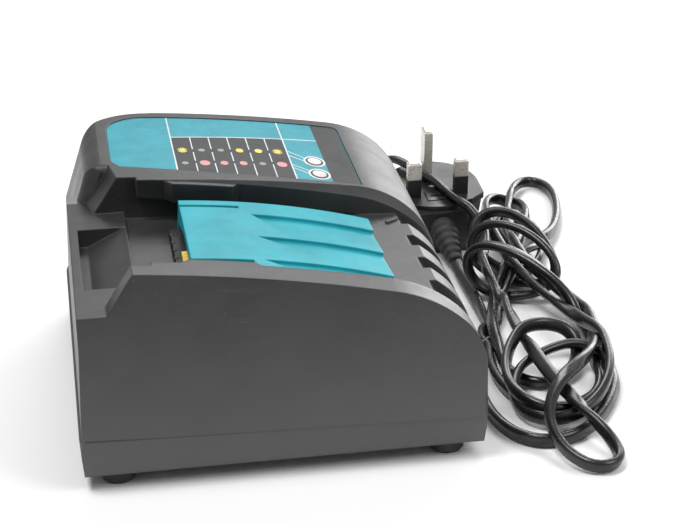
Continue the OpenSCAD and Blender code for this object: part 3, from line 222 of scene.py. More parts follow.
def even_spacing(path, gap):
    """The same path with its points the same distance apart."""
    along = np.concatenate([[0], np.cumsum(np.linalg.norm(np.diff(path, axis=0), axis=1))])
    at = np.linspace(0, along[-1], round(along[-1] / gap) + 1)
    return np.stack([np.interp(at, along, path[:, k]) for k in range(3)], axis=1)


def path_length(path):
    """The length along a path."""
    return np.linalg.norm(np.diff(path, axis=0), axis=1).sum()


def smooth_rows(rows, width):
    """Rows averaged with their neighbours, width rows each way."""
    kernel = np.hanning(2 * width + 3)[1:-1]
    kernel /= kernel.sum()
    padded = np.vstack([np.repeat(rows[:1], width, 0), rows, np.repeat(rows[-1:], width, 0)])
    return np.stack([np.convolve(padded[:, k], kernel, "valid") for k in range(rows.shape[1])], axis=1)


def unit_rows(rows):
    """Every row made one long."""
    return rows / np.maximum(np.linalg.norm(rows, axis=1, keepdims=True), 1e-9)


def add_node(tree, kind, inputs=(), **settings):
    """Adds a node with its settings, joins its inputs to sockets or sets them, and returns its outputs."""
    node = tree.nodes.new(kind)
    for key, value in settings.items():
        setattr(node, key, value)
    for key, value in dict(inputs).items():
        if isinstance(value, bpy.types.NodeSocket):
            tree.links.new(value, node.inputs[key])
        else:
            node.inputs[key].default_value = value
    return node.outputs


# ---------------------------------------------------------------- the label's artwork


class LabelPrint:
    """Collects thin closed sheets that lie on the label, sorted by ink."""

    def __init__(self, thickness, step):
        self.thickness, self.step = thickness, step
        self.inks = {}
        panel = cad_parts["label_panel"]
        self.surface = BVHTree.FromPolygons([v.co for v in panel.data.vertices],
                                            [tuple(p.vertices) for p in panel.data.polygons])
        (_, self.near, _), (self.right, self.far, _) = (tuple(c) for c in cad_box_mm("label_panel"))

    def hit(self, x, y):
        """Height of the film's face at a place, or None beside the film."""
        above = Vector((x * MM, y * MM, RAY_START * MM))
        found = self.surface.ray_cast(above, Vector((0, 0, -1)))[0]
        return None if found is None else found.z / MM

    def height(self, x):
        """Height of the film's face, which curves along x alone."""
        return self.hit(x, self.far - HEIGHT_LINE)

    def edge(self, x, start, way):
        """Where the ink ends at x, for a search that starts outside the film."""
        y = start
        while self.hit(x, y) is None:
            y += EDGE_STEP * way
        return y + EDGE_MARGIN * way

    def near_edge(self, x):
        """Where the ink ends at x on the side of the bay."""
        return self.edge(x, self.near, 1)

    def far_edge(self, x):
        """Where the ink ends at x on the outer side."""
        return self.edge(x, self.far, -1)

    def next_layer(self):
        """Later sheets lie over the ones before them."""
        self.thickness += INK_LAYER

    def sheet(self, ink, rows):
        """A closed sheet through rows of x, lowest y and highest y."""
        verts, faces = self.inks.setdefault(ink, ([], []))
        base = len(verts)
        for x, low, high in rows:
            under, over = self.height(x) - SHEET_SINK, self.height(x) + self.thickness
            verts += [(x, low, under), (x, high, under), (x, high, over), (x, low, over)]
        for i in range(len(rows) - 1):
            a, b = base + 4 * i, base + 4 * i + 4
            faces += [(a + k, b + k, b + (k + 1) % 4, a + (k + 1) % 4) for k in range(4)]
        last = base + 4 * (len(rows) - 1)
        faces += [(base, base + 1, base + 2, base + 3), (last + 3, last + 2, last + 1, last)]

    def between(self, ink, x0, x1, low, high):
        """A sheet from x0 to x1 between two edges, each of them a function of x."""
        count = max(1, round((x1 - x0) / self.step))
        self.sheet(ink, [(x, low(x), high(x)) for x in np.linspace(x0, x1, count + 1)])

    def line(self, ink, start, end, width):
        """A straight line of a given width between two points."""
        (x0, y0), (x1, y1) = start, end
        if x0 == x1:
            self.sheet(ink, [(x0 - width / 2, y0, y1), (x0 + width / 2, y0, y1)])
            return
        slope = (y1 - y0) / (x1 - x0)
        half = width / 2 * math.hypot(1, slope)
        self.between(ink, x0, x1, lambda x: y0 + slope * (x - x0) - half,
                     lambda x: y0 + slope * (x - x0) + half)

    def ring(self, ink, centre, outer, inner):
        """A closed oval ring, by its outer and inner reach along x."""
        verts, faces = self.inks.setdefault(ink, ([], []))
        base = len(verts)
        for k in range(RING_CORNERS):
            angle = 2 * math.pi * k / RING_CORNERS
            for reach in (outer, inner):
                x, y = centre[0] + reach * math.cos(angle), centre[1] + reach * LENS_OVAL * math.sin(angle)
                verts += [(x, y, self.height(x) - SHEET_SINK), (x, y, self.height(x) + self.thickness)]
        for k in range(RING_CORNERS):
            a, b = base + 4 * k, base + 4 * ((k + 1) % RING_CORNERS)
            faces += [(a, b, b + 1, a + 1), (a + 1, b + 1, b + 3, a + 3), (a + 3, b + 3, b + 2, a + 2),
                      (a + 2, b + 2, b, a)]

    def build(self, materials):
        """Makes one piece for each ink that was printed so far."""
        for ink, (verts, faces) in self.inks.items():
            piece = mesh_object("label_" + ink, verts, faces, "case")
            bm = bmesh.new()
            bm.from_mesh(piece.data)
            bmesh.ops.recalc_face_normals(bm, faces=bm.faces)
            bm.to_mesh(piece.data)
            bm.free()
            piece.data.materials.append(materials[ink])


def table_top(x):
    """The table's upper edge."""
    return TABLE_TOP + TABLE_CLIMB * x


def print_fields(label):
    """The fields, the ruled lines and the lens rings."""
    label.between("charcoal", *RULE_X, label.near_edge, table_top)
    label.between("charcoal", BAND_X, label.right - BAND_MARGIN, label.near_edge, label.far_edge)
    label.next_layer()
    for x in RULE_X:
        label.line("white", (x, label.near_edge(x)), (x, label.far_edge(x)), LINE_WIDTH)
    label.line("white", (RULE_X[0], table_top(RULE_X[0])), (BAND_X, table_top(BAND_X)), TABLE_LINE)
    lens_low, lens_high = cad_box_mm("lamp_lenses")
    lens_x = (lens_low[0] + lens_high[0]) / 2
    for y in (lens_low[1] + LENS_HALF_LENGTH, lens_high[1] - LENS_HALF_LENGTH):
        for ink, inner, outer in LENS_RINGS:
            label.ring(ink, (lens_x, y), outer, inner)
    for start, end in CALL_OUTS:
        label.line("white", start, end, LINE_WIDTH)
    for x in COLUMN_LINES:
        breaks = [y + ROW_CLIMB * x for pair in COLUMN_BREAKS for y in pair]
        stops = [label.near_edge(x), *breaks, table_top(x)]
        for low, high in zip(stops[::2], stops[1::2]):
            label.line("white", (x, low), (x, high), COLUMN_LINE)


def sign_spots():
    """For each ink the spots of its signs: their middles and their reach along and across the table."""
    spots = {ink: [] for ink, _, _ in SIGNS.values()}
    for signs, level in ((UPPER_SIGNS, UPPER_ROW), (LOWER_SIGNS, LOWER_ROW)):
        for x, sign in zip(COLUMNS, signs):
            ink, along, across = SIGNS[sign]
            y = level + ROW_CLIMB * x
            spots[ink].append((x, y, along, across))
            if sign != "burst":
                continue
            for angle in (2 * math.pi * k / BURST_RAYS for k in range(BURST_RAYS)):
                c, s = math.cos(angle), math.sin(angle)
                reach = (RAY_LEAST[0] + RAY_MORE[0] * abs(c), RAY_LEAST[1] + RAY_MORE[1] * abs(s))
                spots[ink].append((x + RAY_PLACE[0] * c, y + RAY_PLACE[1] * s, *reach))
    return spots


def spot_tree():
    """Geometry Nodes that lay a flat oval spot on the film at every point, with the names of its inputs."""
    tree = bpy.data.node_groups.new("label_spots", "GeometryNodeTree")
    names = {}
    for name, kind in (("Geometry", "Geometry"), ("Depth", "Float"), ("Corners", "Int"),
                       ("Height line", "Float"), ("Ray start", "Float"), ("Panel", "Object"),
                       ("Ink", "Material")):
        socket = tree.interface.new_socket(name, in_out="INPUT", socket_type="NodeSocket" + kind)
        names[name] = socket.identifier
    tree.interface.new_socket("Geometry", in_out="OUTPUT", socket_type="NodeSocketGeometry")
    add = partial(add_node, tree)
    given = add("NodeGroupInput")
    spot = add("GeometryNodeMeshCylinder", {"Vertices": given["Corners"], "Radius": 1.0,
                                            "Depth": given["Depth"]})
    reach = add("GeometryNodeInputNamedAttribute", {"Name": "reach"}, data_type="FLOAT_VECTOR")
    spots = add("GeometryNodeInstanceOnPoints", {"Points": given["Geometry"], "Instance": spot["Mesh"],
                                                 "Scale": reach["Attribute"]})
    real = add("GeometryNodeRealizeInstances", {"Geometry": spots["Instances"]})
    place = add("ShaderNodeSeparateXYZ", {"Vector": add("GeometryNodeInputPosition")["Position"]})
    above = add("ShaderNodeCombineXYZ", {"X": place["X"], "Y": given["Height line"],
                                         "Z": given["Ray start"]})
    film = add("GeometryNodeObjectInfo", {"Object": given["Panel"]})
    ray = add("GeometryNodeRaycast", {"Target Geometry": film["Geometry"], "Ray Direction": (0, 0, -1),
                                      "Source Position": above["Vector"]})
    found = add("ShaderNodeSeparateXYZ", {"Vector": ray["Hit Position"]})
    rise = add("ShaderNodeCombineXYZ", {"Z": found["Z"]})
    laid = add("GeometryNodeSetPosition", {"Geometry": real["Geometry"], "Offset": rise["Vector"]})
    inked = add("GeometryNodeSetMaterial", {"Geometry": laid["Geometry"], "Material": given["Ink"]})
    add("NodeGroupOutput", {"Geometry": inked["Geometry"]})
    return tree, names


def print_spots(label, ink, spots, material, tree, names):
    """One ink's signs as a piece of spots."""
    points = bpy.data.meshes.new("spots")
    level = (label.thickness - SHEET_SINK) / 2 * MM
    points.from_pydata([(x * MM, y * MM, level) for x, y, _, _ in spots], [], [])
    reach = points.attributes.new("reach", "FLOAT_VECTOR", "POINT")
    for value, (_, _, along, across) in zip(reach.data, spots):
        value.vector = (along * MM, across * MM, 1)
    piece = bpy.data.objects.new("label_" + ink, points)
    bpy.context.scene.collection.objects.link(piece)
    modifier = piece.modifiers.new("spots", "NODES")
    modifier.node_group = tree
    for name, value in (("Depth", (label.thickness + SHEET_SINK) * MM), ("Corners", SIGN_CORNERS),
                        ("Height line", (label.far - HEIGHT_LINE) * MM), ("Ray start", RAY_START * MM),
                        ("Panel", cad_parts["label_panel"]), ("Ink", material)):
        modifier[names[name]] = value
    graph = bpy.context.evaluated_depsgraph_get()
    mesh = bpy.data.meshes.new_from_object(piece.evaluated_get(graph), depsgraph=graph)
    piece.modifiers.clear()
    piece.data = mesh
    bpy.data.meshes.remove(points)
    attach(piece, "case")


# ---------------------------------------------------------------- the mains lead


def wrap_points():
    """Turns round the waist, from the near side to the far side, each over the runs and back under them."""
    sides = [np.array(side, float) for side in (WRAP_RIGHT, WRAP_CREST, WRAP_LEFT, WRAP_FOOT)]
    turns = len(WRAP_RIGHT) - 1
    points = []
    for i in range(turns * WRAP_STEPS + 1):
        at = i / WRAP_STEPS
        angle = 2 * math.pi * at
        right, crest, left, foot = (
            np.array([np.interp(at, range(turns + 1), axis) for axis in side.T]) for side in sides)
        middle = (right + left) / 2
        rise = (crest if math.sin(angle) > 0 else foot) - middle
        points.append(tuple(middle + (right - left) / 2 * math.cos(angle) + rise * abs(math.sin(angle))))
    return points


def lead_route():
    """Every point of the lead's way from the gland to the plug's boot."""
    return (LEAD_POINTS + END_LOOP_POINTS + FAR_LOOP_POINTS + RING_POINTS + SHORT_LOOP_POINTS
            + INNER_ARC_POINTS + wrap_points() + OUTER_ARC_POINTS + TAIL_POINTS)


def held_points(points):
    """How many of the settling points stay where they are over a held stretch."""
    return round(path_length(catmull_rom(points, SETTLE_SPACING)) / SETTLE_SPACING) - HELD_OVERLAP


def settle(path, held_start, held_end, width, thickness, front_x):
    """Lets the lead find its place: it bends smoothly and lies on the floor and on itself."""
    goal = path.copy()
    n = len(path)
    at = np.arange(n)
    free = np.clip((at - held_start) / NEIGHBOURS, 0, 1) * np.clip((n - held_end - at) / NEIGHBOURS, 0, 1)
    free = free[:, None]
    first, second = np.triu_indices(n, NEIGHBOURS)
    apart = WIDTH_KEPT * width + THICKNESS_KEPT * thickness
    for step in range(SETTLE_STEPS):
        moved = path + HOME_SHARE * (goal - path)
        moved[1:-1] += STRAIGHT_SHARE * ((path[:-2] + path[2:]) / 2 - path[1:-1])
        moved[:, 2] -= SAG
        gap = moved[first] - moved[second]
        distance = np.linalg.norm(gap, axis=1)
        near = distance < apart
        share = (apart - distance[near]) / np.maximum(distance[near], 1e-6) * PUSH_SHARE
        push = gap[near] * share[:, None]
        shift = np.zeros_like(moved)
        hits = np.ones(n)
        np.add.at(shift, first[near], push)
        np.add.at(shift, second[near], -push)
        np.add.at(hits, first[near], PUSH_CROWDING)
        np.add.at(hits, second[near], PUSH_CROWDING)
        moved += shift / np.sqrt(hits)[:, None]
        moved[:, 2] = np.maximum(moved[:, 2], width / 2 + FLOOR_GAP)
        moved[:, 0] = np.maximum(moved[:, 0], front_x + thickness)
        path = path + free * (moved - path)
        if (step + 1) % ROUNDING_EVERY == 0:
            path = path + ROUNDING_SHARE * free * (smooth_rows(path, 1) - path)
    return path


def flat_directions(path, gap):
    """For each ring the way that the lead's width points, across the bends, and the way the lead runs."""
    reach = round(TURN_REACH / gap)
    soft = smooth_rows(path, reach)
    tangent = unit_rows(np.gradient(path, axis=0))
    bend = np.cross(np.gradient(soft, axis=0), np.gradient(np.gradient(soft, axis=0), axis=0))
    side = bend + 1e-6 * np.array([0, 0, 1.0])
    for i in range(1, len(side)):
        if np.dot(side[i], side[i - 1]) < 0:
            side[i] = -side[i]
    sharpness = np.minimum(np.linalg.norm(side, axis=1, keepdims=True) * BEND_GAIN, 1)
    side = unit_rows(side) * sharpness + 1e-4 * side
    side = smooth_rows(side, reach)
    side = unit_rows(side - tangent * np.sum(side * tangent, axis=1, keepdims=True))
    up = np.cross(tangent, side)
    at = np.arange(len(path)) * gap
    twist = sum(height * np.sin(at / length + start) for height, length, start in TWISTS)
    return unit_rows(side * np.cos(twist)[:, None] + up * np.sin(twist)[:, None]), tangent


def sweep_flat_lead(name, path, gap, width, thickness, body):
    """A closed tube of flat oval section along a path."""
    side, tangent = flat_directions(path, gap)
    up = np.cross(tangent, side)
    core, radius = (width - thickness) / 2, thickness / 2
    section = []
    for k in range(LEAD_SIDES):
        angle = 2 * math.pi * (k + 0.5) / LEAD_SIDES
        across = math.copysign(core, math.cos(angle)) + radius * math.cos(angle)
        section.append((across, radius * math.sin(angle)))
    verts = [tuple(c + s * u + t * v) for c, u, v in zip(path, side, up) for s, t in section]
    faces = []
    last = (len(path) - 1) * LEAD_SIDES
    for ring in range(0, last, LEAD_SIDES):
        for k in range(LEAD_SIDES):
            a, b = ring + k, ring + (k + 1) % LEAD_SIDES
            faces.append((a, b, b + LEAD_SIDES, a + LEAD_SIDES))
    faces.append(tuple(range(LEAD_SIDES))[::-1])
    faces.append(tuple(range(last, last + LEAD_SIDES)))
    piece = mesh_object(name, verts, faces, body)
    for poly in piece.data.polygons:
        poly.use_smooth = len(poly.vertices) == 4
    return piece


# ---------------------------------------------------------------- materials

# Height over the bench at which the housing's painted bounce light from the floor ends, and the way that
# drawn metal's lines run.
PAINTED_BOUNCE_TOP = 0.078
DRAWN_LINES = (1, 1, 14)


class Finish:
    """A short way to write a material with patterns that lie on the piece's own coordinates."""

    def __init__(self, name):
        self.material = bpy.data.materials.new(name)
        self.material.use_nodes = True
        self.add = partial(add_node, self.material.node_tree)
        self.shader = self.material.node_tree.nodes["Principled BSDF"].inputs
        self.place = self.add("ShaderNodeTexCoord")["Object"]

    def noise(self, scale, detail=4, rough=0.6, stretch=None):
        """A cloudy pattern, drawn out by a stretch along its axes."""
        place = self.place
        if stretch:
            place = self.add("ShaderNodeMapping", {"Vector": place, "Scale": stretch})["Vector"]
        return self.add("ShaderNodeTexNoise", {"Vector": place, "Scale": scale, "Detail": detail,
                                               "Roughness": rough})["Fac"]

    def ramp(self, source, ends, over):
        """Runs from one end to the other while the source runs over a stretch of its own values."""
        return self.add("ShaderNodeMapRange", {"Value": source, "From Min": over[0], "From Max": over[1],
                                               "To Min": ends[0], "To Max": ends[1]}, clamp=True)["Result"]

    def mix(self, factor, first, second):
        """Two colours, or a pattern and a colour, mixed by a pattern."""
        first, second = ((*c, 1) if isinstance(c, tuple) else c for c in (first, second))
        # By number, because the other kinds of mix have sockets of the same names.
        return self.add("ShaderNodeMix", {0: factor, 6: first, 7: second}, data_type="RGBA")[2]

    def rounded(self, radius):
        """The normal of edges that look rounded, as every moulded edge is."""
        return self.add("ShaderNodeBevel", {"Radius": radius}, samples=6)["Normal"]

    def bump(self, height, distance, under=None):
        """A fine relief, on top of another normal if there is one."""
        inputs = {"Height": height, "Distance": distance}
        if under:
            inputs["Normal"] = under
        return self.add("ShaderNodeBump", inputs)["Normal"]

    def finish(self, base, roughness, normal):
        """The material, with its three patterns on the shader."""
        for name, source in (("Base Color", base), ("Roughness", roughness), ("Normal", normal)):
            self.material.node_tree.links.new(source, self.shader[name])
        return self.material


def toned(colour, share, more=0.0):
    """A colour scaled by a share, plus a little white."""
    return tuple(min(1, c * share + more) for c in colour)


def moulded_plastic(name, colour, rough, grain=0.05, dust=0.25, edge=0.9, shine=0.45, painted_bounce_light=0.0):
    """Moulded plastic with a fine spark-eroded grain, paler edges that are partly rubbed wear and partly a
    painted highlight, dust and some light scratches.

    The grain's depth and the rounding of the edges are in millimetres. The low parts are painted paler, as
    painted light from the floor's bounce.
    """
    t = Finish(name)
    t.shader["Specular IOR Level"].default_value = shine
    clouds = t.ramp(t.noise(38, 5), (0, 1), (0.35, 0.65))
    base = t.mix(clouds, toned(colour, 0.88), toned(colour, 1.18, 0.008))
    specks = t.ramp(t.noise(900, 2, 0.5), (0, 1), (0.71, 0.78))
    base = t.mix(specks, base, toned(colour, 1, dust * 0.25))
    scratches = t.ramp(t.noise(60, 3, 0.7, stretch=(1, 26, 9)), (0, 0.16), (0.66, 0.73))
    base = t.mix(scratches, base, toned(colour, 1, 0.2))
    # Painted light: the colour grows paler towards the bottom, where the floor's bounce lights the housing.
    if painted_bounce_light:
        height = t.add("ShaderNodeSeparateXYZ", {"Vector": t.place})["Z"]
        base = t.mix(t.ramp(height, (1, 0), (0, PAINTED_BOUNCE_TOP)), base, toned(colour, 1, painted_bounce_light))
    rounded = t.rounded(edge * MM)
    face = t.add("ShaderNodeNewGeometry")["True Normal"]
    # Painted highlight and wear: where the rounded normal turns away from the face, the edges are made paler.
    turn = t.add("ShaderNodeVectorMath", {0: rounded, 1: face}, operation="DOT_PRODUCT")["Value"]
    base = t.mix(t.ramp(turn, (0.5, 0), (0.8, 0.98)), base, toned(colour, 1.5, 0.05))
    shines = t.ramp(t.noise(70), (rough - 0.06, rough + 0.08), (0.3, 0.7))
    return t.finish(base, shines, t.bump(t.noise(2600, 2, 0.5), grain * MM, under=rounded))


def lead_pvc(name, colour):
    """Satin PVC sheath, a little rubbed and dusty."""
    t = Finish(name)
    base = t.mix(t.ramp(t.noise(90, 5, 0.65), (0, 1), (0.35, 0.7)), colour, toned(colour, 2, 0.004))
    base = t.mix(t.ramp(t.noise(420, 4, 0.7), (0, 0.25), (0.64, 0.76)), base, (0.12, 0.12, 0.125))
    shines = t.ramp(t.noise(150), (0.2, 0.36), (0.3, 0.7))
    return t.finish(base, shines, t.bump(t.noise(700, 3), 0.05 * MM))


def bare_metal(name, colour, rough=0.3, metal=1.0, edge=0.4):
    """Metal with fine drawn lines and a few dull patches."""
    t = Finish(name)
    t.shader["Metallic"].default_value = metal
    base = t.mix(t.ramp(t.noise(160, 5), (0, 1), (0.35, 0.7)), colour, toned(colour, 0.72))
    shines = t.ramp(t.noise(400, 3, stretch=DRAWN_LINES), (rough - 0.1, rough + 0.15), (0.3, 0.7))
    lines = t.bump(t.noise(800, 3, stretch=DRAWN_LINES), 0.02 * MM, under=t.rounded(edge * MM))
    return t.finish(base, shines, lines)


def soft_rubber(name, colour):
    """Dull rubber with a bloom of dust in it."""
    t = Finish(name)
    base = t.mix(t.ramp(t.noise(120, 5), (0, 1), (0.35, 0.7)), colour, toned(colour, 2, 0.015))
    return t.finish(base, t.ramp(t.noise(200), (0.55, 0.75), (0.3, 0.7)), t.bump(t.noise(1200, 3), 0.06 * MM))


def glossy_part(name, colour, rough=0.25, shine=0.5):
    """Smooth glossy plastic, enamel or film with a slight unevenness."""
    t = Finish(name)
    t.shader["Specular IOR Level"].default_value = shine
    base = t.mix(t.ramp(t.noise(140), (0, 1), (0.35, 0.7)), colour, toned(colour, 0.8))
    shines = t.ramp(t.noise(90), (rough - 0.06, rough + 0.1), (0.3, 0.7))
    return t.finish(base, shines, t.bump(t.noise(500, 3), 0.03 * MM))


# ---------------------------------------------------------------- sizes and colours that can be changed


class ChargerCameraSizes(bpy.types.PropertyGroup):
    """Where the camera stands and how it is turned."""

    place: FloatVectorProperty(name="Place", description="Where the camera stands",
                               default=(-0.073, -0.752, 0.3594), subtype="XYZ", unit="LENGTH")
    yaw: FloatProperty(name="Yaw", description="Turn to the right of straight ahead",
                       default=math.radians(8.43), subtype="ANGLE")
    pitch: FloatProperty(name="Pitch", description="Downward tilt", default=math.radians(22.54),
                         subtype="ANGLE")
    roll: FloatProperty(name="Roll", description="Roll about the line of sight",
                        default=math.radians(-1.29), subtype="ANGLE")
    focal: FloatProperty(name="Focal length", description="Length of the lens",
                         default=FOCAL_PIXELS / RENDER_WIDTH * SENSOR_WIDTH, unit="CAMERA")


class ChargerLeadSizes(bpy.types.PropertyGroup):
    """Sizes and colour of the mains lead."""

    width: FloatProperty(name="Width", description="Width of the flat lead", default=5.6 * MM,
                         unit="LENGTH")
    thickness: FloatProperty(name="Thickness", description="Thickness of the flat lead",
                             default=3.6 * MM, unit="LENGTH")
    ring_gap: FloatProperty(name="Ring gap", description="Distance between rings of the lead's mesh",
                            default=2.5 * MM, unit="LENGTH")
    sheath: FloatVectorProperty(name="Sheath", description="Colour of the PVC sheath",
                                default=(0.007, 0.007, 0.008), subtype="COLOR", min=0, max=1)


class ChargerFinishColours(bpy.types.PropertyGroup):
    """Colours of the pieces that are in view."""

    housing: FloatVectorProperty(name="Housing", description="Colour of the case",
                                 default=(0.016, 0.0165, 0.0175), subtype="COLOR", min=0, max=1)
    cover: FloatVectorProperty(name="Cover", description="Colour of the terminal cover",
                               default=(0.01, 0.31, 0.375), subtype="COLOR", min=0, max=1)
    film: FloatVectorProperty(name="Label", description="Colour of the label's film",
                              default=(0.025, 0.305, 0.38), subtype="COLOR", min=0, max=1)
    plug: FloatVectorProperty(name="Plug", description="Colour of the plug",
                              default=(0.014, 0.014, 0.015), subtype="COLOR", min=0, max=1)
    pins: FloatVectorProperty(name="Pins", description="Colour of the plug's pins",
                              default=(0.84, 0.8, 0.72), subtype="COLOR", min=0, max=1)
    connector: FloatVectorProperty(name="Connector", description="Colour of the signal connector",
                                   default=(0.85, 0.6, 0.06), subtype="COLOR", min=0, max=1)


class ChargerLabelInks(bpy.types.PropertyGroup):
    """Thickness and inks of the label's artwork."""

    thickness: FloatProperty(name="Thickness",
                             description="Height of the printed fields above the film",
                             default=0.05 * MM, unit="LENGTH")
    step: FloatProperty(name="Step", description="Distance between points along the curve",
                        default=2 * MM, unit="LENGTH")
    charcoal: FloatVectorProperty(name="Charcoal", description="Dark fields",
                                  default=(0.016, 0.017, 0.019), subtype="COLOR", min=0, max=1)
    white: FloatVectorProperty(name="White", description="Ruled lines", default=(0.72, 0.76, 0.77),
                               subtype="COLOR", min=0, max=1)
    grey: FloatVectorProperty(name="Grey", description="Unlit signs", default=(0.3, 0.31, 0.31),
                              subtype="COLOR", min=0, max=1)
    yellow: FloatVectorProperty(name="Yellow", description="Yellow signs", default=(0.8, 0.68, 0.12),
                                subtype="COLOR", min=0, max=1)
    pink: FloatVectorProperty(name="Pink", description="Red signs, faded to pink",
                              default=(0.72, 0.3, 0.3), subtype="COLOR", min=0, max=1)


class ChargerStageSizes(bpy.types.PropertyGroup):
    """Colour of the floor and plain light of the world."""

    floor: FloatVectorProperty(name="Floor", description="Colour of the floor",
                               default=(0.93, 0.93, 0.93), subtype="COLOR", min=0, max=1)
    world_light: FloatProperty(name="World light", description="Strength of the plain light",
                               default=0.22, min=0)


# ---------------------------------------------------------------- operators


class CHARGER_OT_camera(bpy.types.Operator):
    """Place the camera"""

    bl_idname = "charger.camera"
    bl_label = "Camera"

    def execute(self, context):
        sizes = context.scene.charger_camera
        yaw, pitch, roll = sizes.yaw, sizes.pitch, sizes.roll
        ahead = Vector((math.sin(yaw), math.cos(yaw), 0))
        level = Vector((math.cos(yaw), -math.sin(yaw), 0))
        forward = math.cos(pitch) * ahead - math.sin(pitch) * Vector((0, 0, 1))
        upright = level.cross(forward)
        right = math.cos(roll) * level + math.sin(roll) * upright
        up = -math.sin(roll) * level + math.cos(roll) * upright
        data = bpy.data.cameras.new("camera")
        data.sensor_width = SENSOR_WIDTH
        data.lens = sizes.focal
        data.clip_start = CAMERA_NEAR
        camera = bpy.data.objects.new("camera", data)
        context.scene.collection.objects.link(camera)
        turn = Matrix((right, up, -forward)).transposed().to_4x4()
        camera.matrix_world = Matrix.Translation(Vector(sizes.place)) @ turn
        context.scene.camera = camera
        return {"FINISHED"}


class CHARGER_OT_lead(bpy.types.Operator):
    """Make the mains lead"""

    bl_idname = "charger.lead"
    bl_label = "Mains lead"

    def execute(self, context):
        sizes = context.scene.charger_lead
        width, thickness, gap = sizes.width / MM, sizes.thickness / MM, sizes.ring_gap / MM
        laid = even_spacing(catmull_rom(lead_route(), SETTLE_SPACING), SETTLE_SPACING)
        front_x = cad_box_mm("upper_case")[1][0]
        settled = settle(laid, held_points(LEAD_POINTS), held_points(TAIL_POINTS), width, thickness,
                         front_x)
        path = even_spacing(catmull_rom(settled, gap), gap)
        lead = sweep_flat_lead("mains_lead", path, gap, width, thickness, "case")
        lead.data.materials.append(lead_pvc("lead_pvc", tuple(sizes.sheath)))
        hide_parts("cord_lead", "cord_hank", "cord_tail")
        return {"FINISHED"}


class CHARGER_OT_finishes(bpy.types.Operator):
    """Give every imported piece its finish"""

    bl_idname = "charger.finishes"
    bl_label = "Finishes"

    def execute(self, context):
        sizes = context.scene.charger_finishes
        # The housing's low parts get painted bounce light from the floor.
        housing = moulded_plastic("housing", tuple(sizes.housing), 0.36, painted_bounce_light=0.075)
        plug = moulded_plastic("plug_black", tuple(sizes.plug), 0.36, grain=0.02, edge=0.5)
        cover = moulded_plastic("cover_teal", tuple(sizes.cover), 0.42, dust=0.05, shine=0.25)
        black = moulded_plastic("dark_plastic", (0.018, 0.018, 0.02), 0.5)
        rubber = soft_rubber("lead_rubber", (0.012, 0.012, 0.013))
        steel = bare_metal("steel", (0.62, 0.62, 0.63))
        board = glossy_part("board", (0.03, 0.2, 0.07))
        sleeve = glossy_part("capacitor_sleeve", (0.02, 0.025, 0.06))
        wire = glossy_part("wire_insulation", (0.5, 0.04, 0.03))
        finishes = {
            "upper_case": housing,
            "lower_case": housing,
            "feet": soft_rubber("foot_rubber", (0.015, 0.015, 0.016)),
            "terminal_cover": cover,
            "label_panel": glossy_part("label_teal", tuple(sizes.film), 0.36, 0.25),
            "lamp_lenses": glossy_part("lens", (0.85, 0.75, 0.74), 0.15),
            "cord_gland": rubber,
            "plug_boot": rubber,
            "plug_body": plug,
            "plug_pin_sleeves": plug,
            "plug_pins": bare_metal("pin_brass", tuple(sizes.pins), metal=0.55, edge=1.0),
            "plug_fuse_carrier": glossy_part("fuse_carrier_dark", (0.03, 0.03, 0.032)),
            "plug_screw": steel,
            "board_screws": steel,
            "case_screws": steel,
            "cover_spring": steel,
            "terminal_block": black,
            "power_blades": bare_metal("contact", (0.75, 0.66, 0.45)),
            "signal_connector": glossy_part("yellow_plastic", tuple(sizes.connector)),
            "circuit_board": board,
            "lamp_board": board,
            "lamps": glossy_part("resin", (0.85, 0.82, 0.75)),
            "transformer_core": black,
            "transformer_winding": glossy_part("winding_tape", (0.75, 0.5, 0.08)),
            "filter_choke": bare_metal("copper", (0.6, 0.28, 0.12)),
            "mains_capacitor": sleeve,
            "output_capacitors": sleeve,
            "heat_sinks": bare_metal("sink", (0.6, 0.6, 0.62)),
            "power_transistors": black,
            "input_fuse": glossy_part("fuse_glass", (0.8, 0.85, 0.85)),
            "blade_leads": wire,
            "lamp_lead": wire,
        }
        for node, material in finishes.items():
            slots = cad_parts[node].data.materials
            slots.clear()
            slots.append(material)
        return {"FINISHED"}


class CHARGER_OT_label(bpy.types.Operator):
    """Print the label"""

    bl_idname = "charger.label"
    bl_label = "Label artwork"

    def execute(self, context):
        sizes = context.scene.charger_label
        label = LabelPrint(sizes.thickness / MM, sizes.step / MM)
        inks = {ink: glossy_part("ink_" + ink, tuple(getattr(sizes, ink)), 0.36, 0.3)
                for ink in ("charcoal", "white", "grey", "yellow", "pink")}
        print_fields(label)
        label.build(inks)
        tree, names = spot_tree()
        for ink, spots in sign_spots().items():
            print_spots(label, ink, spots, inks[ink], tree, names)
        return {"FINISHED"}


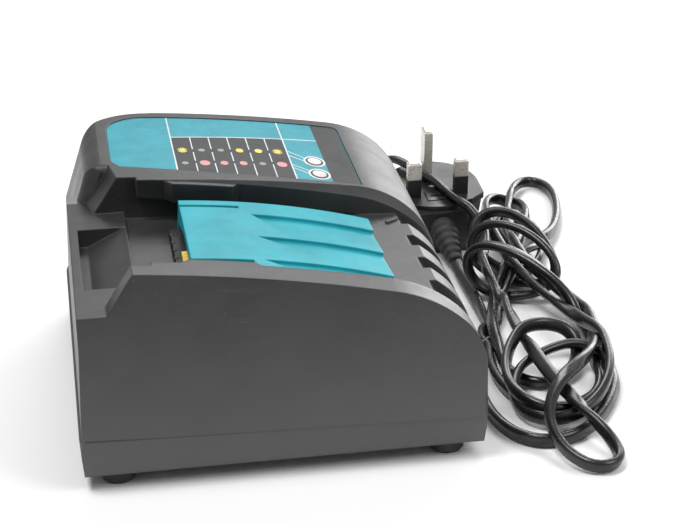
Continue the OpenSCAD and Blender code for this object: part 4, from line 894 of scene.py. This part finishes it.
class CHARGER_OT_stage(bpy.types.Operator):
    """Make the floor, the world and the lamps"""

    bl_idname = "charger.stage"
    bl_label = "Stage"

    def execute(self, context):
        sizes = context.scene.charger_stage
        floor = bpy.data.objects.new("floor", bpy.data.meshes.new("floor"))
        corners = [(x * FLOOR_REACH, y * FLOOR_REACH, 0) for x, y in ((-1, -1), (1, -1), (1, 1), (-1, 1))]
        floor.data.from_pydata(corners, [], [(0, 1, 2, 3)])
        context.scene.collection.objects.link(floor)
        t = Finish("floor")
        t.shader["Base Color"].default_value = (*sizes.floor, 1)
        t.shader["Roughness"].default_value = FLOOR_ROUGHNESS
        floor.data.materials.append(t.material)
        world = bpy.data.worlds.new("world")
        world.use_nodes = True
        context.scene.world = world
        add = partial(add_node, world.node_tree)
        rays = add("ShaderNodeLightPath")
        strength = 0.0
        for kind, share in WORLD_SEEN:
            seen = add("ShaderNodeMath", {0: rays[kind], 1: share}, operation="MULTIPLY")[0]
            strength = add("ShaderNodeMath", {0: strength, 1: seen}, operation="MAXIMUM")[0]
        strength = add("ShaderNodeMath", {0: strength, 1: sizes.world_light}, operation="ADD")[0]
        background = world.node_tree.nodes["Background"].inputs
        background["Color"].default_value = (1, 1, 1, 1)
        world.node_tree.links.new(strength, background["Strength"])
        for name, place, width, power in LAMPS:
            light = bpy.data.lights.new(name, "AREA")
            light.shape = "DISK"
            light.size = width
            light.energy = power
            lamp = bpy.data.objects.new(name, light)
            lamp.location = place
            lamp.rotation_euler = (Vector(place) - Vector(LAMP_TARGET)).to_track_quat("Z", "Y").to_euler()
            context.scene.collection.objects.link(lamp)
        context.scene.view_settings.view_transform = "Standard"
        return {"FINISHED"}


class CHARGER_PT_panel(bpy.types.Panel):
    """Shows the buttons and the sizes and colours that can be changed"""

    bl_idname = "CHARGER_PT_panel"
    bl_label = "Battery charger"
    bl_space_type = "VIEW_3D"
    bl_region_type = "UI"
    bl_category = "Charger"

    def draw(self, context):
        for operator in OPERATORS:
            self.layout.operator(operator.bl_idname)
        for group in (getattr(context.scene, name) for name in GROUPS):
            for name in group.__annotations__:
                self.layout.prop(group, name)


OPERATORS = (CHARGER_OT_camera, CHARGER_OT_lead, CHARGER_OT_finishes, CHARGER_OT_label, CHARGER_OT_stage)
GROUPS = {"charger_camera": ChargerCameraSizes, "charger_lead": ChargerLeadSizes,
          "charger_finishes": ChargerFinishColours, "charger_label": ChargerLabelInks,
          "charger_stage": ChargerStageSizes}


def register():
    for name, group in GROUPS.items():
        bpy.utils.register_class(group)
        setattr(bpy.types.Scene, name, PointerProperty(type=group))
    for cls in (*OPERATORS, CHARGER_PT_panel):
        bpy.utils.register_class(cls)


def unregister():
    for cls in reversed((*OPERATORS, CHARGER_PT_panel)):
        bpy.utils.unregister_class(cls)
    for name, group in GROUPS.items():
        delattr(bpy.types.Scene, name)
        bpy.utils.unregister_class(group)


def main():
    register()
    for operator in OPERATORS:
        group, call = operator.bl_idname.split(".")
        getattr(getattr(bpy.ops, group), call)()


if __name__ == "__main__":
    main()
